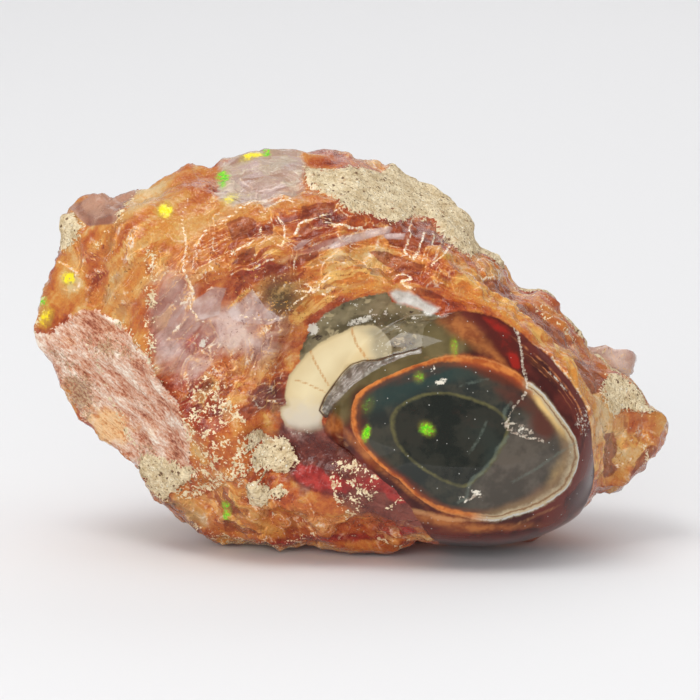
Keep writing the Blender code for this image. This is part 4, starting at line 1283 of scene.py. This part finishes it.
    # Olive glass, cream band, white patches and the bright chip on the lip
    olive_mask = g.step(g.plus("olive", (fine_a, 0.3)), -0.06, 0.08)
    olive_colour = g.fade(g.add(streaks, mid_a), 0.2, 0.8, (92, 80, 50), (140, 126, 92))
    olive_colour = g.over(olive_colour, (176, 160, 120), g.plus(fibres, (mid_c, 0.6)), 0.12, 0.24)
    # Painted glints: near-white flecks on the olive glass
    olive_colour = g.over(olive_colour, (240, 236, 220), g.plus(fine_b, (mid_a, 0.7)), 0.22, 0.30)
    olive_colour = g.over(olive_colour, (60, 44, 28), g.add(fibres, mid_a), -0.16, -0.30)
    colour = g.mix(olive_mask, colour, olive_colour)
    white_mask = g.times(g.step(g.plus("white", (mid_a, 0.4)), -0.12, 0.2), 0.92)
    colour = g.mix(white_mask, colour, g.fade(mid_b, -0.2, 0.2, (186, 182, 172), (216, 214, 206)))
    cream_at = g.plus("cream", (mid_b, 0.3))
    cream_mask = g.blend(g.step("cream_low", 0.8, 2.0), g.step(cream_at, -0.06, 0.08),
                         g.step(cream_at, -0.25, 0.75))
    cream_colour = g.fade(g.plus("cream", (clouds, 1.2)), 0.4, 2.2, (206, 184, 140), (220, 203, 162))
    cream_colour = g.over(cream_colour, (200, 188, 168), g.plus("cream_low", (mid_b, 1.5)), -1.0, 1.2)
    cream_colour = g.over(cream_colour, (176, 154, 112), "cream", 0.3, 0.0, 0.7)
    cream_colour = g.over(cream_colour, (190, 140, 84), g.plus("cream_crack", (mid_b, 1.5), (fine_a, 0.8)),
                          1.3, -0.1, 0.8)
    # Painted shade: the cream band greys and thins towards its right end and along parts of its edges
    cream_colour = g.over(cream_colour, (166, 156, 132), "cream_painted_shade", 0.1, 1.0, 0.8)
    colour = g.mix(g.blend(g.step("cream_painted_shade", 0.3, 1.2), cream_mask, g.times(cream_mask, 0.6)), colour,
                   cream_colour)
    silver_mask = g.step("silver", -0.03, 0.06)
    chip_lines = g.math("FRACT", g.plus(fine_a, (mid_a, 2.6), ("eye", 3.2)))
    silver_colour = g.fade(g.add(mid_b, mid_a), -0.2, 0.2, (112, 102, 88), (166, 158, 146))
    silver_colour = g.mix(g.times(g.near(chip_lines, 0.5, 0.30), g.step(mid_b, -0.12, 0.1), 0.45),
                          silver_colour, (222, 218, 210))
    colour = g.mix(g.near("silver", -0.10, 0.12), colour, (74, 48, 30))
    colour = g.mix(silver_mask, colour, silver_colour)

    # The banded eye
    eye = g.plus("eye", (fine_a, 0.03), (mid_a, 0.07))
    lobe_mask = g.step(eye, 3.03, 2.97)
    outer = g.fade(clouds, 0.3, 0.7, (62, 18, 14), (100, 38, 28))
    outer = g.over(outer, g.fade(clouds, 0.3, 0.7, (84, 72, 40), (108, 94, 60)), "lobe_olive", 0.15, 0.9)
    outer = g.over(outer, g.fade(g.add(mid_a, mid_c), -0.25, 0.25, (138, 70, 32), (184, 112, 56)),
                   g.plus("lobe_orange", (mid_b, 0.5)), 0.1, 1.1, 0.9)
    outer = g.over(outer, g.fade(g.plus("lobe_red", (mid_b, 1.4)), 1.0, 1.9, (84, 22, 12), (150, 26, 12)),
                   "lobe_red", 0.15, 1.0)
    outer = g.over(outer, (200, 142, 92), g.plus("lobe_pale", (fibres, 1.0)), 0.3, 1.1, 0.75)
    arc_at = g.plus("eye", (mid_b, 0.10))
    arcs = g.most(g.near(arc_at, 2.52, 0.035), g.near(arc_at, 2.78, 0.05), g.near(arc_at, 2.66, 0.02))
    arcs = g.times(arcs, g.step("lobe_arcs", 0.2, 0.9), g.step(mid_c, -0.15, 0.1))
    outer = g.mix(g.times(arcs, 0.8), outer, (206, 128, 78))
    right = g.step("right_ring", 0.25, 0.9)
    deep = g.step(g.add(clouds, mid_b), 0.25, 0.75)
    iris = g.mix(g.step(eye, 0.92, 1.06), g.mix(deep, (24, 28, 22), (44, 44, 36)),
                 g.mix(deep, (38, 42, 38), (62, 60, 50)))
    iris = g.over(iris, (40, 62, 58), "eye_teal", 0.1, 1.0, 0.7)
    iris = g.mix(g.times(g.step("smoke", 0.2, 1.0), g.step(eye, 0.97, 1.08)), iris,
                 g.mix(deep, (70, 64, 56), (92, 84, 74)))
    iris = g.over(iris, (92, 46, 34), g.plus("eye_rust", (mid_b, 0.6)), 0.2, 1.0, 0.85)
    inner_ring = g.times(g.near(eye, 1.0, 0.07), g.blend(right, 0.7, 0.12))
    iris = g.mix(g.times(inner_ring, g.blend(g.step(mid_c, -0.18, 0.12), 0.45, 1.0)), iris, (110, 104, 62))
    glow = g.step(g.plus("ring_glow", (mid_c, 0.5)), 0.15, 1.0)
    iris = g.mix(g.times(glow, 0.85), iris, g.fade(eye, 1.75, 2.0, (96, 40, 22), (196, 78, 30)))
    lobe_colour = g.mix(g.step(eye, 1.98, 2.10), iris, outer)
    halo = g.times(g.near(eye, 1.88, 0.17), g.blend(right, 0.35, 0.55))
    lobe_colour = g.mix(halo, lobe_colour, g.mix(right, (132, 64, 34), (158, 124, 86)))
    creamy = g.times(g.step(g.plus("ring_cream", (mid_c, 0.5)), 0.1, 1.0), g.near(eye, 1.86, 0.22))
    lobe_colour = g.mix(creamy, lobe_colour, (226, 190, 124))
    ring = g.mix(right, g.fade(mid_a, -0.15, 0.15, (166, 80, 32), (208, 124, 58)), (196, 178, 144))
    ring_edge = g.plus(g.near(eye, 2.00, 0.16), (mid_c, 1.1))
    lobe_colour = g.mix(g.times(g.step(ring_edge, 0.0, 1.0), g.step(g.near(eye, 2.0, 0.2), 0.0, 0.2)),
                        lobe_colour, ring)
    outer_line = g.times(g.near(eye, 2.06, 0.04), g.step(g.add(mid_b, fine_b), -0.3, 0.0),
                         g.blend(right, 0.35, 1.0))
    lobe_colour = g.mix(outer_line, lobe_colour, g.mix(right, (222, 150, 86), (198, 198, 192)))
    lobe_colour = g.mix(g.times(g.near(eye, 1.97, 0.035), right), lobe_colour, (140, 104, 70))
    veil = g.step(g.plus("veil", (mid_b, 3.0), (fine_a, 2.2)), 2.0, -0.8)
    lobe_colour = g.mix(g.times(veil, 0.42), lobe_colour, (112, 124, 112))
    crack = g.step(g.plus("eye_crack", (mid_b, 2.0), (fine_a, 4.0)), 0.9, -0.5)
    lobe_colour = g.mix(g.times(crack, 0.8), lobe_colour,
                        g.fade(fine_c, -0.1, 0.1, (176, 156, 138), (226, 214, 194)))
    dust = g.times(g.step(spot, 0.11, 0.05), g.step(spot_kind, -0.05, -0.03))
    lobe_colour = g.mix(g.times(dust, 0.75), lobe_colour, (200, 200, 192))
    colour = g.mix(lobe_mask, colour, lobe_colour)

    # Painted glints and highlights on the glass, with a few small pale chips on the eye
    shine = g.step(g.plus("white_glint", (fine_a, 1.4)), 0.45, 0.9)
    colour = g.mix(g.times(shine, 0.85), colour, (244, 236, 218))

    # Flashes of play-of-colour
    aura = g.most("gold_flash", g.times("green_flash", 0.8))
    colour = g.over(colour, (206, 190, 60), aura, 0.02, 0.8, 0.45)
    gold = g.step(g.times("gold_flash", g.plus(0.9, (fine_c, 1.2), (mid_a, 2.4))), 0.3, 0.95)
    green = g.step(g.times("green_flash", g.plus(0.8, (fine_c, 3.2), (mid_a, 3.0))), 0.15, 1.15)
    colour = g.mix(g.times(gold, 0.95), colour, (244, 222, 20))
    colour = g.mix(g.times(green, 0.92), colour, g.fade(fine_b, -0.1, 0.2, (78, 196, 20), (150, 226, 24)))
    g.put(colour, g.shader.inputs["Base Color"])

    # Gloss: matt crust, silky striated face, glass elsewhere
    matt = g.most(crusted, g.times(pink, 0.62))
    glass_rough = g.blend(lobe_mask, g.plus(0.09, (mid_b, 0.14)), 0.06)
    g.put(g.blend(matt, glass_rough, 0.92), g.shader.inputs["Roughness"])
    see_through = g.blend(haze, 0.34, 0.16)
    see_through = g.blend(lobe_mask, see_through, 0.10)
    solid = g.most(cream_mask, white_mask, crusted, pink)
    solid = g.most(solid, gold, green, g.times(lines, 0.8), white_crack)
    g.put(g.blend(solid, see_through, 0.0), g.shader.inputs["Transmission Weight"])
    g.put(g.times(g.math("SUBTRACT", 1.0, g.most(matt, lobe_mask)), 0.2), g.shader.inputs["Coat Weight"])
    g.shader.inputs["Coat Roughness"].default_value = 0.04
    g.shader.inputs["IOR"].default_value = 1.4

    rough_share = g.plus(g.times("broken", 0.4), (g.step("crust", -0.1, 0.1), 1.3))
    grit = g.times(g.noise(at, 4.5, 1.0, 0.8), rough_share)
    scratches = g.times(g.noise(striae_at, 2.4, 1.0, 0.8), g.step("pink", -0.1, 0.2))
    height = g.plus(g.times(grit, 1.4), (scratches, 1.4))
    g.put(g.bump(height, 0.8, 0.0002), g.shader.inputs["Normal"])

    soak = g.tree.nodes.new("ShaderNodeVolumeAbsorption")
    soak.inputs["Color"].default_value = tint(236, 150, 70)
    soak.inputs["Density"].default_value = 160.0
    g.tree.links.new(soak.outputs[0], g.output.inputs["Volume"])
    return g.material


def paper_look():
    g = Graph("pale_paper")
    g.shader.inputs["Base Color"].default_value = PAPER_COLOUR
    g.shader.inputs["Roughness"].default_value = 0.75
    return g.material


# Stage, lights and camera

PAPER_COLOUR = (0.805, 0.801, 0.805, 1.0)
FLOOR_FRONT, FLOOR_BACK = -0.9, 0.55
SWEEP_RADIUS, SWEEP_TOP, SWEEP_HALF_WIDTH = 0.35, 1.4, 1.6
AIR_COLOUR = (0.94, 0.945, 0.96, 1.0)
AIR_STRENGTH = 0.53

# Name, place, the point that it faces, width, depth, power, and whether it shows in reflections
SOFTBOXES = (
    ("sky_softbox", (0.0, -0.1, 1.20), (0.0, 0.0, 0.0), 1.6, 1.6, 4.6, False),
    ("top_softbox", (-0.14, -0.10, 0.46), (0.0, 0.0, 0.01), 0.30, 0.16, 0.66, True),
    ("front_softbox", (-0.16, -0.60, 0.19), (0.0, 0.0, 0.01), 0.60, 0.34, 2.2, False),
    ("back_softbox", (0.12, 0.40, 0.32), (0.0, 0.0, 0.01), 0.50, 0.25, 0.34, True),
)


def sweep():
    """A pale floor that curves up into a backdrop."""
    shell = bmesh.new()
    turns = np.linspace(0.1, math.pi / 2, 16)
    profile = [(FLOOR_FRONT, 0.0), (FLOOR_BACK, 0.0)]
    profile += [(FLOOR_BACK + SWEEP_RADIUS * math.sin(turn),
                 SWEEP_RADIUS * (1.0 - math.cos(turn))) for turn in turns]
    profile += [(FLOOR_BACK + SWEEP_RADIUS, SWEEP_TOP)]
    rows = [[shell.verts.new((x, y, z)) for x in (-SWEEP_HALF_WIDTH, SWEEP_HALF_WIDTH)] for y, z in profile]
    for low, high in zip(rows[:-1], rows[1:]):
        shell.faces.new((low[0], low[1], high[1], high[0]))
    mesh = bpy.data.meshes.new("sweep")
    shell.to_mesh(mesh)
    shell.free()
    mesh.shade_smooth()
    piece = bpy.data.objects.new("sweep", mesh)
    bpy.context.scene.collection.objects.link(piece)
    piece.data.materials.append(paper_look())


def softbox(name, place, target, width, depth, power, mirrored):
    light = bpy.data.lights.new(name, "AREA")
    light.shape = "RECTANGLE"
    light.size = width
    light.size_y = depth
    light.energy = power
    lamp = bpy.data.objects.new(name, light)
    bpy.context.scene.collection.objects.link(lamp)
    lamp.location = place
    lamp.visible_glossy = mirrored
    lamp.rotation_euler = (Vector(place) - Vector(target)).to_track_quat("Z", "Y").to_euler()


def surroundings():
    world = bpy.data.worlds.new("studio_air")
    bpy.context.scene.world = world
    world.use_nodes = True
    air = world.node_tree.nodes["Background"]
    air.inputs["Color"].default_value = AIR_COLOUR
    air.inputs["Strength"].default_value = AIR_STRENGTH


def photo_camera():
    lens = bpy.data.cameras.new("photo_camera")
    lens.sensor_width = SENSOR_WIDTH
    lens.lens = SENSOR_WIDTH * SIGHT_DISTANCE / (PHOTO_SIZE / PIXELS_A_MM)
    lens.clip_start = 0.01
    camera = bpy.data.objects.new("photo_camera", lens)
    bpy.context.scene.collection.objects.link(camera)
    aim = Vector(to_world(np.array([[*SIGHT_POINT, 0.0]]))[0])
    out = Vector((0.0, -math.cos(FACE_LEAN), math.sin(FACE_LEAN)))
    camera.location = aim + out * SIGHT_DISTANCE * MM
    camera.rotation_euler = out.to_track_quat("Z", "Y").to_euler()
    bpy.context.scene.camera = camera


photo_camera()
surroundings()
sweep()
for details in SOFTBOXES:
    softbox(*details)
bpy.context.scene.view_settings.view_transform = "Standard"

opal = stone_object()
opal.data.materials.append(opal_look())
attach(opal, "root")
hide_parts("opal")
